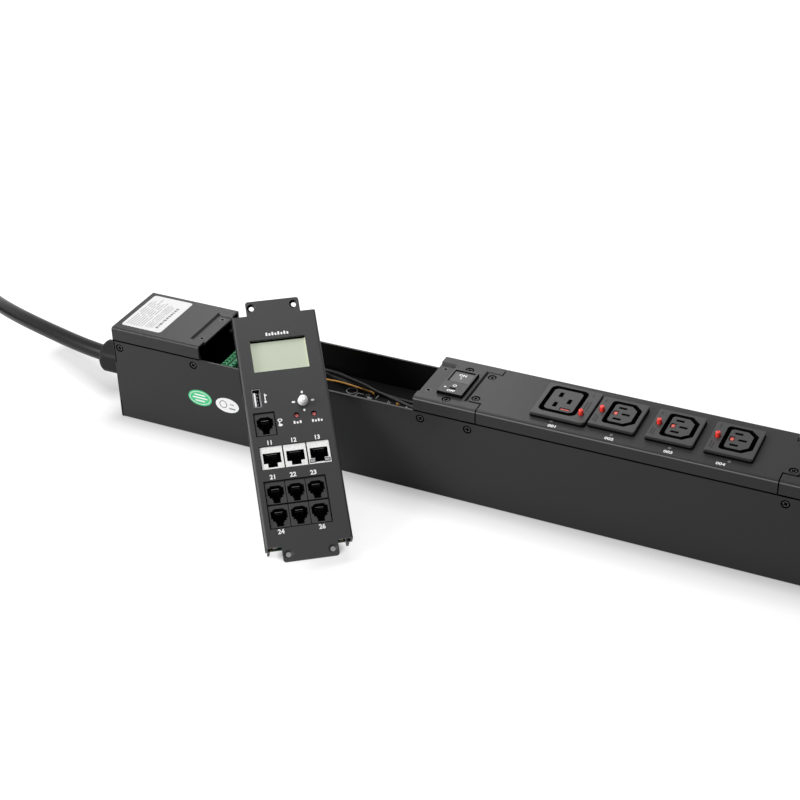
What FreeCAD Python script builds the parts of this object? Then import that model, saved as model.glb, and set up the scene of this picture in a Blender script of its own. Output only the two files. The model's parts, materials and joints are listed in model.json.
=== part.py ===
import FreeCAD, Part
import math
import os

# Rack power distribution unit, standing on its back with the outlets up.
# Built from the left end (x), the front wall (y) and the floor (z), in millimetres,
# and moved at the end so that the origin is under the middle of the channel.

# Sheet metal casing
WIDTH = 60.0
HEIGHT = 78.3
LID = 11.2
SHEET = 1.5
BEND = 2.0
SEAM = 0.9
FIT = 0.2
TONGUE = 12.0
LEFT_LENGTH = 74.3
BAY_LENGTH = 171.2
BREAKER_LENGTH = 46.1
OUTLET_LENGTH = 208.8
RIGHT_LENGTH = 74.3
RECESS_LENGTH = 10.6
RECESS_WIDTH = 40.0
RECESS_SLOPE = 1.2
TAB_WIDTH = 38.8
TAB_CORNER = 2.0
TAB_HOLE_INSET = 5.3
TAB_HOLE_SPACING = 29.9
END_FLANGE = 12.0
MOUNT_INSET = 30.0
MOUNT_SPACING = 40.0
MOUNT_HOLE = 4.2

# Countersunk screws
SCREW_SHANK = 3.0
SCREW_HEAD = 6.2
SCREW_LENGTH = 6.5
SCREW_PLAY = 0.3
SIDE_SCREW_DROP = 5.4
SIDE_SCREW_INSET = 5.4

# Cord entry and cord
GLAND_Z = 32.0
GLAND_THREAD = 20.0
GLAND_HEX = 27.0
GLAND_FLANGE = 7.0
GLAND_COLLAR = 20.0
GLAND_COLLAR_LENGTH = 10.0
NUT_LENGTH = 26.0
NUT_DIAMETER = 25.4
NUT_FLATS = 24.4
NUT_GRIP = 18.6
NUT_SHOULDER = 9.6
NUT_LIP = 0.9
SEAL_LENGTH = 8.0
CORD = 12.4
CORD_PLAY = 0.3
COIL_CENTRE = (-296.5, 65.4)
COIL_RADIUS = 74.0
COIL_ROWS = 3
COIL_LAYERS = 2
LEAD = [
    (-18.0, WIDTH / 2, GLAND_Z), (-40.0, WIDTH / 2, GLAND_Z), (-104.0, 46.0, 32.0), (-150.0, 66.0, 26.0),
    (-192.0, 95.0, 14.5), (-234.0, 126.0, 6.5),
]
TAIL = [(-382.3, 43.4, 18.6), (-382.0, 18.0, 20.5), (-380.0, -4.0, 24.0), (-380.0, -22.0, 24.0)]
PLUG_DIAMETER = 48.0
PLUG_LENGTH = 104.0
PLUG_NECK = 20.0
PLUG_PIN = 5.0
PLUG_FACE = 70.0

# Outlets, measured from the middle of each socket
PLATE_THICKNESS = 3.2
PLATE_EDGE = 0.4
PLATE_GAP = 1.1
PLATE_INSET = 0.7
PLATE_CORNER = 1.2
PLATE_EASED_CORNER = 3.2
SOCKET_DEPTH = 15.0
OUTLET_DEPTH = 24.0
OUTLET_PLAY = 0.3
BIG_X = 343.8
BIG_PLATE = (-16.2, 22.5, 20.5)
BIG_BODY = (-14.6, 20.3, 19.0)
BIG_MIDDLE = (0.5, 1.2)
BIG_GROOVE = (26.8, 33.5, 4.5)
BIG_ISLAND = (20.4, 26.6, 3.0)
BIG_SLOT = (2.8, 6.0)
BIG_BUTTON = (16.7, -10.0)
BIG_PINS = [(-3.5, 7.7), (-3.5, -5.3), (4.5, 1.2)]
BIG_TAB = (4.7, -9.1, 6.2, 1.7)
SMALL_X = 385.9
SMALL_PITCH = 39.8
SMALL_COUNT = 3
SMALL_PLATE = (-18.2, 14.0, 18.0)
SMALL_BODY = (-16.4, 12.8, 16.6)
SMALL_MIDDLE = (0.5, 0.6)
SMALL_GROOVE = (21.8, 29.0, 6.0)
SMALL_ISLAND = (15.6, 22.4, 4.4)
SMALL_SLOT = (5.6, 2.4)
SMALL_BUTTON = (-13.8, 0.0)
SMALL_PINS = [(-1.5, 7.6), (-1.5, -6.4), (2.5, 0.6)]
SMALL_TAB = (-4.6, 0.6, 2.4, 4.2)
BUTTON = 3.8
BUTTON_RISE = 4.0
BUTTON_STEM = 9.0
BUTTON_BEVEL = 0.5
BUTTON_TRAVEL = 2.5
BUTTON_PLAY = 0.3
CONTACT = 0.8
CONTACT_WIDTH = 4.0
BAR_THICKNESS = 2.0
BAR_DEPTH = 8.0
BAR_DROP = 30.3
LED = 2.4
LED_Y = 8.6

# Circuit breaker, with a raised guard over the OFF half of its rocker
BREAKER_X = 268.0
BREAKER_DEPTH = 44.0
BREAKER_WALL = 1.0
BREAKER_PLAY = 0.4
GUARD_RISE = 2.4
GUARD_ROOF = 1.2
GUARD_RIM = 1.5
GUARD_SLOT = (4.9, 1.7, -9.8)
GUARD_LIP = 1.2
ROCKER_WIDTH = 14.6
ROCKER_HALF = 14.0
ROCKER_APEX = 5.0
ROCKER_FOLD = 0.6
ROCKER_KEEL = (4.0, 5.0)
ROCKER_SINK = 0.9
ROCKER_PLAY = 0.4
ROCKER_PIN = 3.0
BREAKER_SCREW_GAP = 1.5

# Controller module, in its own frame: u across, v along, w out of its face
PANEL_CLEARANCE = 0.5
PANEL_LENGTH = 170.0
PANEL_DEPTH = 22.9
PANEL_TAB = 11.0
TONGUE_CORNER = 3.4
TONGUE_INSET = 0.3
MODULE_YAW = 36.05
MODULE_SLOPE = 35.66
MODULE_X = 176.4
LEAN_GAP = 0.3
BOARD_DROP = 16.0
BOARD_THICKNESS = 1.6
BOARD_PLAY = 0.5
BOARD_LENGTH = 165.0
POST_INSET = 3.4
POST = 5.0
DISPLAY_WINDOW = (-0.2, 53.9, 38.8, 24.2)
DISPLAY_SINK = 3.5
DISPLAY_GLASS = 1.1
DISPLAY_FRAME = 3.0
USB = (-20.5, 22.6, 5.8, 13.4)
USB_WALL = 0.4
JACK_SIZE = (13.3, 16.0)
JACK_SINK = 0.8
JACK_CAVITY = 12.0
JACK_PLAY = 0.3
SERIAL_JACK = (-17.4, 2.9)
SENSOR_JACKS = (-3.45, -55.4)
SENSOR_PITCH = (13.8, 16.5)
NETWORK_SIZE = (15.6, 16.1)
NETWORK_JACKS = (-0.1, -21.6)
NETWORK_PITCH = 16.1
NETWORK_GAP = 0.9
KNOB_AT = (10.5, 16.5)
KNOB = 7.2
KNOB_TOP = 5.6
KNOB_LIFT = 0.7
KNOB_RISE = 5.6
KNOB_STEM = 4.4
KNOB_PIVOT = 9.0
KNOB_HOLE = 6.6
PIN = 1.0
PIN_PLAY = 0.15
RESETS = [(4.7, 6.8), (16.7, 6.6)]
RESET_HOLE = 4.0
PLUNGER = 3.2
PLUNGER_SINK = 1.2

# Boards and wires in the bay
MAIN_BOARD_DROP = 22.7
MAIN_BOARD_MARGIN = 5.0
STANDOFF = 6.0
TERMINAL_X = 82.4
TERMINAL_POLES = 11
TERMINAL_PITCH = 3.81
TERMINAL_WIDTH = 8.0
TERMINAL_HEIGHT = 10.8
AMBER_WIRE = 1.7
BLACK_WIRE = 2.6

# Places worked out from the sizes above
V = FreeCAD.Vector
X, Y, Z = V(1, 0, 0), V(0, 1, 0), V(0, 0, 1)
BAY_START = LEFT_LENGTH
BAY_END = BAY_START + BAY_LENGTH
OUTLET_START = BAY_END + BREAKER_LENGTH
OUTLET_END = OUTLET_START + OUTLET_LENGTH
LENGTH = OUTLET_END + RIGHT_LENGTH
MID_Y = WIDTH / 2
WALL_HEIGHT = HEIGHT - LID
FLANGE = LID - SEAM
RECESS_DEPTH = SHEET + FIT
COVER_UNDER = HEIGHT - SHEET
TAB_LENGTH = RECESS_LENGTH - FIT - SEAM
PAIR = (MID_Y - TAB_HOLE_SPACING / 2, MID_Y + TAB_HOLE_SPACING / 2)
CORD_BORE = CORD / 2 + CORD_PLAY
BAR_TOP = HEIGHT - BAR_DROP
PANEL_WIDTH = WIDTH - 2 * PANEL_CLEARANCE
BOARD_WIDTH = PANEL_WIDTH - 2 * (2 * SHEET + FIT + BOARD_PLAY)
MAIN_BOARD_Z = WALL_HEIGHT - MAIN_BOARD_DROP
BOARD_TOP = MAIN_BOARD_Z + BOARD_THICKNESS
GUARD_TOP = HEIGHT + GUARD_RISE
GUARD_HALF_X = ROCKER_WIDTH / 2 + ROCKER_PLAY + GUARD_RIM
GUARD_HALF_Y = ROCKER_HALF + ROCKER_PLAY + GUARD_RIM
BREAKER_SCREWS = GUARD_HALF_Y + BREAKER_PLAY + BREAKER_SCREW_GAP + SCREW_HEAD / 2
BREAKER_HALF_Y = BREAKER_SCREWS + SCREW_SHANK / 2 + BREAKER_WALL
BREAKER_Y = 2 * SHEET + FIT + BREAKER_PLAY + BREAKER_HALF_Y
ROCKER_Z = GUARD_TOP - ROCKER_SINK - ROCKER_APEX

ROW_SHIFT = V(-LENGTH / 2, -MID_Y, 0)


def box(x0, x1, y0, y1, z0, z1):
    return Part.makeBox(x1 - x0, y1 - y0, z1 - z0, V(x0, y0, z0))


def rod(diameter, length, base, axis=Z):
    return Part.makeCylinder(diameter / 2, length, V(*base), axis)


def prism(points, along):
    corners = [V(*p) for p in points]
    return Part.Face(Part.makePolygon(corners + corners[:1])).extrude(along)


def rounded(shape, wanted, radius):
    """The shape with the wanted edges rounded."""
    return shape.makeFillet(radius, [e for e in shape.Edges if wanted(e.BoundBox)])


def upright(bounds):
    return bounds.ZLength > 0.5 and bounds.XLength < 1e-4 and bounds.YLength < 1e-4


def at_corner(bounds, x, y):
    return upright(bounds) and abs(bounds.XMin - x) < 1e-3 and abs(bounds.YMin - y) < 1e-3


def slab(centre, size, corner, z0, z1):
    """An upright block with rounded corners, seen from above."""
    (cx, cy), (sx, sy) = centre, size
    return rounded(box(cx - sx / 2, cx + sx / 2, cy - sy / 2, cy + sy / 2, z0, z1), upright, corner)


def hexagon(across, length, base, axis, up):
    """A hexagonal bar along axis; across is the width over its flats."""
    side = axis.cross(up)
    corner = across / math.sqrt(3)
    ring = []
    for k in range(6):
        turn = math.radians(60 * k)
        ring.append(V(*base) + up * (corner * math.cos(turn)) + side * (corner * math.sin(turn)))
    return prism(ring, axis * length)


def countersink(base, axis, shank, depth):
    """What a countersunk screw takes out of a sheet; base is on the face, axis points in."""
    head = (SCREW_HEAD - SCREW_SHANK) / 2
    cone = Part.makeCone(SCREW_HEAD / 2 + FIT / 2, shank / 2, head, V(*base), axis)
    return cone.fuse(rod(shank, depth, base, axis))


def screw(base, axis, length=SCREW_LENGTH):
    """A countersunk screw, its head level with the face."""
    head = (SCREW_HEAD - SCREW_SHANK) / 2
    cone = Part.makeCone(SCREW_HEAD / 2, SCREW_SHANK / 2, head, V(*base), axis)
    return cone.fuse(rod(SCREW_SHANK, length, base, axis)).removeSplitter()


def joggled_section(width, flange, tongue):
    """Flat top at height 0, side flanges, and tongues stepped in to slide inside the channel."""
    inner = SHEET + FIT
    step = SHEET - flange
    left = [
        (SHEET, -SHEET), (SHEET, step), (inner + SHEET, step), (inner + SHEET, -tongue),
        (inner, -tongue), (inner, -flange), (0, -flange), (0, 0),
    ]
    return left + [(width - y, z) for y, z in reversed(left)]


def cover(x0, x1):
    """One folded cover of the channel, from x0 to x1."""
    section = joggled_section(WIDTH, FLANGE, FLANGE + SEAM + TONGUE)
    solid = prism([(x0, y, HEIGHT + z) for y, z in section], X * (x1 - x0))
    return rounded(solid, lambda b: b.ZMin > HEIGHT - 1e-4 and b.XLength > 1 and b.YLength < 1e-4, BEND)


def recessed(solid, x0, x1, closed):
    """A cover with one end pressed down by a sheet, to take a neighbour's tab. closed is -1 or 1."""
    y0, y1 = MID_Y - RECESS_WIDTH / 2, MID_Y + RECESS_WIDTH / 2
    floor = HEIGHT - RECESS_DEPTH
    rings = []
    for z, slope in ((floor, 0), (HEIGHT, RECESS_SLOPE)):
        end0 = x0 - slope if closed < 0 else x0
        end1 = x1 + slope if closed > 0 else x1
        corners = [(end0, y0 - slope), (end1, y0 - slope), (end1, y1 + slope), (end0, y1 + slope)]
        rings.append(Part.makePolygon([V(x, y, z) for x, y in corners + corners[:1]]))
    hollow = Part.makeLoft(rings, True, True)
    wall0 = x0 - SHEET if closed < 0 else x0
    wall1 = x1 + SHEET if closed > 0 else x1
    pan = box(wall0, wall1, y0 - SHEET, y1 + SHEET, floor - SHEET, COVER_UNDER)
    solid = solid.fuse(pan).cut(hollow)
    hole_x = x1 - TAB_HOLE_INSET if closed < 0 else x0 + TAB_HOLE_INSET
    for y in PAIR:
        solid = solid.cut(rod(SCREW_SHANK + SCREW_PLAY, 3 * SHEET, (hole_x, y, floor - 2 * SHEET)))
    return solid.removeSplitter()


def tab(x0, x1, hole_x):
    """The tongue of a cover that lies in the next cover's recess, with its screw holes."""
    lip = slab(((x0 + x1) / 2, MID_Y), (x1 - x0, TAB_WIDTH), TAB_CORNER, COVER_UNDER, HEIGHT)
    for y in PAIR:
        lip = lip.cut(countersink((hole_x, y, HEIGHT), -Z, SCREW_SHANK + SCREW_PLAY, 2 * SHEET))
    return lip


def side_screw_places():
    joints = (BAY_START - SIDE_SCREW_INSET, BAY_END + SIDE_SCREW_INSET, OUTLET_START - SIDE_SCREW_INSET)
    ends = (SIDE_SCREW_INSET, OUTLET_END + SIDE_SCREW_INSET, LENGTH - SIDE_SCREW_INSET)
    z = WALL_HEIGHT - SIDE_SCREW_DROP
    return [(x, y, z, inward) for x in joints + ends for y, inward in ((0, Y), (WIDTH, -Y))]


def drill_sides(solid, diameter):
    for x, y, z, inward in side_screw_places():
        solid = solid.cut(rod(diameter, 4 * SHEET, (x, y, z), inward))
    return solid


def make_tray():
    outline = [
        (0, 0, 0), (0, WIDTH, 0), (0, WIDTH, WALL_HEIGHT), (0, WIDTH - SHEET, WALL_HEIGHT),
        (0, WIDTH - SHEET, SHEET), (0, SHEET, SHEET), (0, SHEET, WALL_HEIGHT), (0, 0, WALL_HEIGHT),
    ]
    solid = prism(outline, X * LENGTH)
    solid = rounded(solid, lambda b: b.ZMax < 1e-4 and b.XLength > 1 and b.YLength < 1e-4, BEND)
    for x, y, z, inward in side_screw_places():
        solid = solid.cut(countersink((x, y, z), inward, SCREW_SHANK + SCREW_PLAY, 2 * SHEET))
    for x in (MOUNT_INSET, LENGTH - MOUNT_INSET):
        for y in (MID_Y - MOUNT_SPACING / 2, MID_Y + MOUNT_SPACING / 2):
            solid = solid.cut(rod(MOUNT_HOLE, 2 * SHEET, (x, y, -SHEET / 2)))
    return solid


def make_end_plate(at_left):
    """An end plate with three flanges welded inside the channel."""
    x0, x1 = (0, SHEET) if at_left else (LENGTH - SHEET, LENGTH)
    f0, f1 = (0, END_FLANGE) if at_left else (LENGTH - END_FLANGE, LENGTH)
    flange_top = WALL_HEIGHT - TONGUE - SHEET
    plate = box(x0, x1, SHEET, WIDTH - SHEET, SHEET, COVER_UNDER - SEAM)
    plate = plate.fuse(box(f0, f1, SHEET, 2 * SHEET, SHEET, flange_top))
    plate = plate.fuse(box(f0, f1, WIDTH - 2 * SHEET, WIDTH - SHEET, SHEET, flange_top))
    plate = plate.fuse(box(f0, f1, SHEET, WIDTH - SHEET, SHEET, 2 * SHEET)).removeSplitter()
    if at_left:
        plate = plate.cut(rod(GLAND_THREAD + 2 * FIT, 3 * SHEET, (-SHEET, MID_Y, GLAND_Z), X))
    return plate


def clear_end_plate(solid, at_left):
    """The end covers' tongues stop short of the end plates."""
    reach = SHEET + SEAM
    x0, x1 = (0, reach) if at_left else (LENGTH - reach, LENGTH)
    return solid.cut(box(x0, x1, SHEET, WIDTH - SHEET, 0, COVER_UNDER))


def make_covers():
    hole = SCREW_SHANK + SCREW_PLAY
    left = recessed(cover(0, BAY_START), BAY_START - RECESS_LENGTH, BAY_START, -1)
    left = drill_sides(clear_end_plate(left, True), hole)
    breaker = cover(BAY_END, OUTLET_START)
    breaker = recessed(breaker, BAY_END, BAY_END + RECESS_LENGTH, 1)
    breaker = recessed(breaker, OUTLET_START - RECESS_LENGTH, OUTLET_START, -1)
    breaker = breaker.cut(guard_block(BREAKER_PLAY, COVER_UNDER - SHEET, HEIGHT + SHEET))
    for y in breaker_screw_rows():
        breaker = breaker.cut(countersink((BREAKER_X, y, HEIGHT), -Z, hole, 2 * SHEET))
    breaker = drill_sides(breaker, hole)
    outlet = cover(OUTLET_START + SEAM, OUTLET_END - SEAM)
    root = 2 * BEND
    outlet = outlet.fuse(tab(OUTLET_START - TAB_LENGTH, OUTLET_START + root, OUTLET_START - TAB_HOLE_INSET))
    outlet = outlet.fuse(tab(OUTLET_END - root, OUTLET_END + TAB_LENGTH, OUTLET_END + TAB_HOLE_INSET))
    for centre, shape in outlet_places():
        x0, x1, half_y = shape["body"]
        outlet = outlet.cut(box(
            centre + x0 - OUTLET_PLAY, centre + x1 + OUTLET_PLAY,
            MID_Y - half_y - OUTLET_PLAY, MID_Y + half_y + OUTLET_PLAY, COVER_UNDER - SHEET, HEIGHT + SHEET,
        ))
        outlet = outlet.cut(rod(LED + 2 * FIT, 3 * SHEET, (centre, LED_Y, COVER_UNDER - SHEET)))
    outlet = outlet.removeSplitter()
    right = recessed(cover(OUTLET_END, LENGTH), OUTLET_END, OUTLET_END + RECESS_LENGTH, 1)
    right = drill_sides(clear_end_plate(right, False), hole)
    return {"left_cover": left, "breaker_cover": breaker, "outlet_cover": outlet, "right_cover": right}


def tab_screws():
    rows = (OUTLET_START - TAB_HOLE_INSET, OUTLET_END + TAB_HOLE_INSET)
    return [screw((x, y, HEIGHT), -Z) for x in rows for y in PAIR]


def breaker_screw_rows():
    return (BREAKER_Y - BREAKER_SCREWS, BREAKER_Y + BREAKER_SCREWS)


BIG = {
    "plate": BIG_PLATE, "body": BIG_BODY, "groove": BIG_GROOVE, "island": BIG_ISLAND, "slot": BIG_SLOT,
    "middle": BIG_MIDDLE,
    "button": BIG_BUTTON, "pins": BIG_PINS, "tab": BIG_TAB, "strip": (CONTACT, CONTACT_WIDTH),
    "chamfered": False, "eased": PLATE_EASED_CORNER,
}
SMALL = {
    "plate": SMALL_PLATE, "body": SMALL_BODY, "groove": SMALL_GROOVE, "island": SMALL_ISLAND,
    "middle": SMALL_MIDDLE,
    "slot": SMALL_SLOT, "button": SMALL_BUTTON, "pins": SMALL_PINS, "tab": SMALL_TAB,
    "strip": (CONTACT_WIDTH, CONTACT), "chamfered": True, "eased": PLATE_CORNER,
}


def outlet_places():
    return [(BIG_X, BIG)] + [(SMALL_X + k * SMALL_PITCH, SMALL) for k in range(SMALL_COUNT)]


def socket_block(size, chamfered, z0, z1):
    """The outline of a socket: a rectangle with round corners, or with its earth side chamfered."""
    length, width, corner = size
    x, y = length / 2, width / 2
    if not chamfered:
        return slab((0, 0), (length, width), corner, z0, z1)
    points = [(-x, -y), (x - corner, -y), (x, corner - y), (x, y - corner), (x - corner, y), (-x, y)]
    solid = prism([(px, py, z0) for px, py in points], Z * (z1 - z0))
    return rounded(solid, lambda b: upright(b) and b.XMax < -x + 1e-3, corner / 2)


def make_outlet(centre, shape):
    """A locking socket with its face plate, groove, island, pin slots and button guide."""
    top = PLATE_THICKNESS
    px0, px1, half_y = shape["plate"]
    bx0, bx1, body_y = shape["body"]
    plain = [(px0, -half_y), (px0, half_y), (px1, half_y)]
    solid = box(px0, px1, -half_y, half_y, 0, top)
    solid = rounded(solid, lambda b: at_corner(b, px1, -half_y), shape["eased"])
    solid = rounded(solid, lambda b: any(at_corner(b, x, y) for x, y in plain), PLATE_CORNER)
    solid = solid.makeChamfer(PLATE_EDGE, [e for e in solid.Edges if e.BoundBox.ZMin > top - 1e-4])
    foot_y = half_y - PLATE_INSET
    around = box(px0, px1, -half_y, half_y, 0, PLATE_GAP)
    foot = box(px0 + PLATE_INSET, px1 - PLATE_INSET, -foot_y, foot_y, 0, PLATE_GAP)
    solid = solid.cut(around.cut(foot))
    solid = solid.fuse(box(bx0, bx1, -body_y, body_y, -OUTLET_DEPTH, top / 2))
    lug_z = -SHEET - FIT
    for side in (-1, 1):
        lug = [(0, side * body_y, lug_z), (0, side * (body_y + 1.2), lug_z), (0, side * body_y, lug_z - 4)]
        for x in (bx0 + 4, bx1 - 10):
            solid = solid.fuse(prism([(x, y, z) for _, y, z in lug], X * 6))
    groove = socket_block(shape["groove"], shape["chamfered"], top - SOCKET_DEPTH, top + 1)
    island = socket_block(shape["island"], shape["chamfered"], top - SOCKET_DEPTH, top + 1)
    channel = groove.cut(island)
    channel.translate(V(*shape["middle"], 0))
    solid = solid.cut(channel)
    sx, sy = shape["slot"]
    for x, y in shape["pins"]:
        solid = solid.cut(box(x - sx / 2, x + sx / 2, y - sy / 2, y + sy / 2, -OUTLET_DEPTH - 1, top + 1))
    bx, by = shape["button"]
    well = BUTTON_STEM + 2 * BUTTON_TRAVEL
    solid = solid.cut(rod(BUTTON + 2 * BUTTON_PLAY, well + 1, (bx, by, top - well)))
    tx, ty, tl, tw = shape["tab"]
    half_l, half_w = tl / 2 + FIT, tw / 2 + FIT
    solid = solid.cut(box(tx - half_l, tx + half_l, ty - half_w, ty + half_w, top - 6, top + 1))
    solid.translate(V(centre, MID_Y, HEIGHT))
    return solid.removeSplitter()


def make_button(centre, shape):
    """A round release button with a bevelled top."""
    x, y = shape["button"]
    base = (centre + x, MID_Y + y, HEIGHT + PLATE_THICKNESS - BUTTON_STEM)
    length = BUTTON_STEM + BUTTON_RISE - BUTTON_BEVEL
    bevel = Part.makeCone(BUTTON / 2, BUTTON / 2 - BUTTON_BEVEL, BUTTON_BEVEL, V(*base) + Z * length)
    return rod(BUTTON, length, base).fuse(bevel)


def make_lock_tab(centre, shape):
    x, y, length, width = shape["tab"]
    top = HEIGHT + PLATE_THICKNESS - 0.4
    return box(
        centre + x - length / 2, centre + x + length / 2,
        MID_Y + y - width / 2, MID_Y + y + width / 2, top - 5, top,
    )


def make_contacts(centre, shape):
    """Flat contact blades inside an outlet, standing on the bus bars."""
    sx, sy = shape["strip"]
    blades = []
    for x, y in shape["pins"]:
        lean = math.copysign(shape["slot"][1] / 2 - sy / 2 - FIT, y) if shape["chamfered"] else 0
        cx, cy = centre + x, MID_Y + y + lean
        if not shape["chamfered"]:
            cx += shape["slot"][0] / 2 - sx / 2 - FIT
        tip = HEIGHT - SOCKET_DEPTH / 2
        blades.append(box(cx - sx / 2, cx + sx / 2, cy - sy / 2, cy + sy / 2, BAR_TOP, tip))
    return blades


def make_bus_bars():
    centres = [c for c, _ in outlet_places()]
    x0, x1 = BIG_X + BIG_BODY[0], centres[-1] + SMALL_BODY[1]
    rows = [MID_Y + y for _, y in SMALL_PINS]
    return [
        box(x0, x1, y - BAR_THICKNESS / 2, y + BAR_THICKNESS / 2, BAR_TOP - BAR_DEPTH, BAR_TOP) for y in rows
    ]


def make_leds():
    return [rod(LED, 4 * SHEET, (c, LED_Y, HEIGHT - 4 * SHEET)) for c, _ in outlet_places()]


def guard_block(play, z0, z1):
    """The outline of the breaker's guard, which comes up through the cover."""
    half_x, half_y = GUARD_HALF_X + play, GUARD_HALF_Y + play
    return box(BREAKER_X - half_x, BREAKER_X + half_x, BREAKER_Y - half_y, BREAKER_Y + half_y, z0, z1)


def make_rocker():
    """A rocker on its pivot pins: its ON half pressed in, its lower OFF arm raised under the guard."""
    x0 = BREAKER_X - ROCKER_WIDTH / 2
    keel_y, keel_z = ROCKER_KEEL
    arm = ROCKER_HALF - 1.0
    arm_top = ROCKER_APEX - GUARD_ROOF
    outline = [
        (ROCKER_FOLD, ROCKER_APEX), (ROCKER_HALF, ROCKER_APEX), (ROCKER_HALF - 0.6, -0.6), (keel_y, -keel_z),
        (-keel_y, -keel_z), (-arm, arm_top - 2.6), (-arm, arm_top), (-GUARD_LIP, arm_top - 1.6),
    ]
    solid = prism([(x0, BREAKER_Y + y, ROCKER_Z + z) for y, z in outline], X * ROCKER_WIDTH)
    pin = rod(ROCKER_PIN, ROCKER_WIDTH + 2, (x0 - 1, BREAKER_Y, ROCKER_Z), X)
    return solid.fuse(pin).removeSplitter()


def make_breaker_body():
    """The breaker's case and its guard, with the well that the rocker swings in."""
    half_x = GUARD_HALF_X + BREAKER_PLAY / 2
    solid = box(
        BREAKER_X - half_x, BREAKER_X + half_x, BREAKER_Y - BREAKER_HALF_Y, BREAKER_Y + BREAKER_HALF_Y,
        COVER_UNDER - BREAKER_DEPTH, COVER_UNDER,
    )
    solid = solid.fuse(guard_block(0, COVER_UNDER - SHEET, GUARD_TOP)).removeSplitter()
    inside = ROCKER_WIDTH / 2 + ROCKER_PLAY
    half = ROCKER_HALF + ROCKER_PLAY
    west, east = BREAKER_X - inside, BREAKER_X + inside
    well = box(west, east, BREAKER_Y - half, BREAKER_Y + half, ROCKER_Z - 9, GUARD_TOP - GUARD_ROOF)
    window = box(west, east, BREAKER_Y - GUARD_LIP, BREAKER_Y + half, ROCKER_Z, GUARD_TOP + 1)
    length, width, slot_y = GUARD_SLOT
    slot = slab((BREAKER_X, BREAKER_Y + slot_y), (length, width), width / 4, ROCKER_Z, GUARD_TOP + 1)
    pin_hole = rod(
        ROCKER_PIN + 2 * ROCKER_PLAY, ROCKER_WIDTH + 2 + 2 * ROCKER_PLAY,
        (BREAKER_X - ROCKER_WIDTH / 2 - 1 - ROCKER_PLAY, BREAKER_Y, ROCKER_Z), X,
    )
    solid = solid.cut(well).cut(window).cut(slot).cut(pin_hole)
    for y in breaker_screw_rows():
        base = (BREAKER_X, y, COVER_UNDER - SCREW_LENGTH)
        solid = solid.cut(rod(SCREW_SHANK + SCREW_PLAY, SCREW_LENGTH + 1, base))
    return solid


def make_gland():
    """Cable gland: body through the end plate, dome nut, rubber seal and lock nut."""
    axis = (0, MID_Y, GLAND_Z)
    bore = GLAND_THREAD - 5
    collar = GLAND_COLLAR_LENGTH
    body = hexagon(GLAND_HEX, GLAND_FLANGE, (-GLAND_FLANGE, MID_Y, GLAND_Z), X, Z)
    body = body.fuse(rod(GLAND_THREAD, 12, axis, X))
    body = body.fuse(rod(GLAND_COLLAR, collar, (-GLAND_FLANGE - collar, MID_Y, GLAND_Z), X)).removeSplitter()
    body = body.cut(rod(bore, 60, (-40, MID_Y, GLAND_Z), X))
    start = -GLAND_FLANGE - FIT
    end = start - NUT_LENGTH
    half = NUT_DIAMETER / 2
    thread = GLAND_COLLAR / 2 + FIT
    inside = -GLAND_FLANGE - collar - FIT
    neck = start - NUT_GRIP
    profile = [
        (start, thread), (start, half), (neck, half), ((neck + end) / 2, NUT_SHOULDER),
        (end, CORD_BORE + NUT_LIP), (end, CORD_BORE), (neck, CORD_BORE),
        (inside, thread - 1.2), (inside, thread),
    ]
    face = Part.Face(Part.makePolygon([V(x, MID_Y + r, GLAND_Z) for x, r in profile + profile[:1]]))
    nut = face.revolve(V(*axis), X, 360)
    grip = hexagon(NUT_FLATS, NUT_GRIP, (start - NUT_GRIP, MID_Y, GLAND_Z), X, Z)
    grip = grip.fuse(rod(NUT_DIAMETER, NUT_LENGTH - NUT_GRIP, (end, MID_Y, GLAND_Z), X))
    nut = nut.common(grip).removeSplitter()
    seal = rod(bore - 2 * FIT, SEAL_LENGTH, (inside + FIT, MID_Y, GLAND_Z), X)
    seal = seal.cut(rod(2 * CORD_BORE, 60, (-40, MID_Y, GLAND_Z), X))
    lock = hexagon(GLAND_HEX, 5, (SHEET, MID_Y, GLAND_Z), X, Z)
    lock = lock.cut(rod(GLAND_THREAD + 2 * FIT, 20, (-2, MID_Y, GLAND_Z), X))
    return {"gland_body": body, "gland_nut": nut, "gland_seal": seal, "gland_locknut": lock}


def route_wire(points):
    """Straight runs joined by tangent arcs, each as large as its two runs allow."""
    stops = [V(*p) for p in points]
    edges, radii, start = [], [], stops[0]
    for before, corner, after in zip(stops, stops[1:], stops[2:]):
        back, ahead = before - corner, after - corner
        turn = math.pi - back.getAngle(ahead)
        reach = 0.45 * min(back.Length, ahead.Length)
        radii.append(reach / math.tan(turn / 2))
        back, ahead = back.normalize(), ahead.normalize()
        enter, leave = corner + back * reach, corner + ahead * reach
        bisector = (back + ahead).normalize()
        depth = radii[-1] / math.cos(turn / 2) - radii[-1]
        edges.append(Part.LineSegment(start, enter).toShape())
        edges.append(Part.Arc(enter, corner + bisector * depth, leave).toShape())
        start = leave
    edges.append(Part.LineSegment(start, stops[-1]).toShape())
    return Part.Wire(edges), radii


def tube(name, points, diameter):
    """A round cord along a route; prints its bends, and its volume against section times length."""
    path, radii = route_wire(points)
    first = (V(*points[1]) - V(*points[0])).normalize()
    ring = Part.Wire([Part.Circle(V(*points[0]), first, diameter / 2).toShape()])
    solid = path.makePipeShell([ring], True, False)
    ratio = solid.Volume / (math.pi * diameter ** 2 / 4 * path.Length)
    bends = " ".join(f"{r:.0f}" for r in radii)
    print(f"{name}: length {path.Length:.0f} mm, volume ratio {ratio:.4f}, bend radii {bends}")
    return solid


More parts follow.
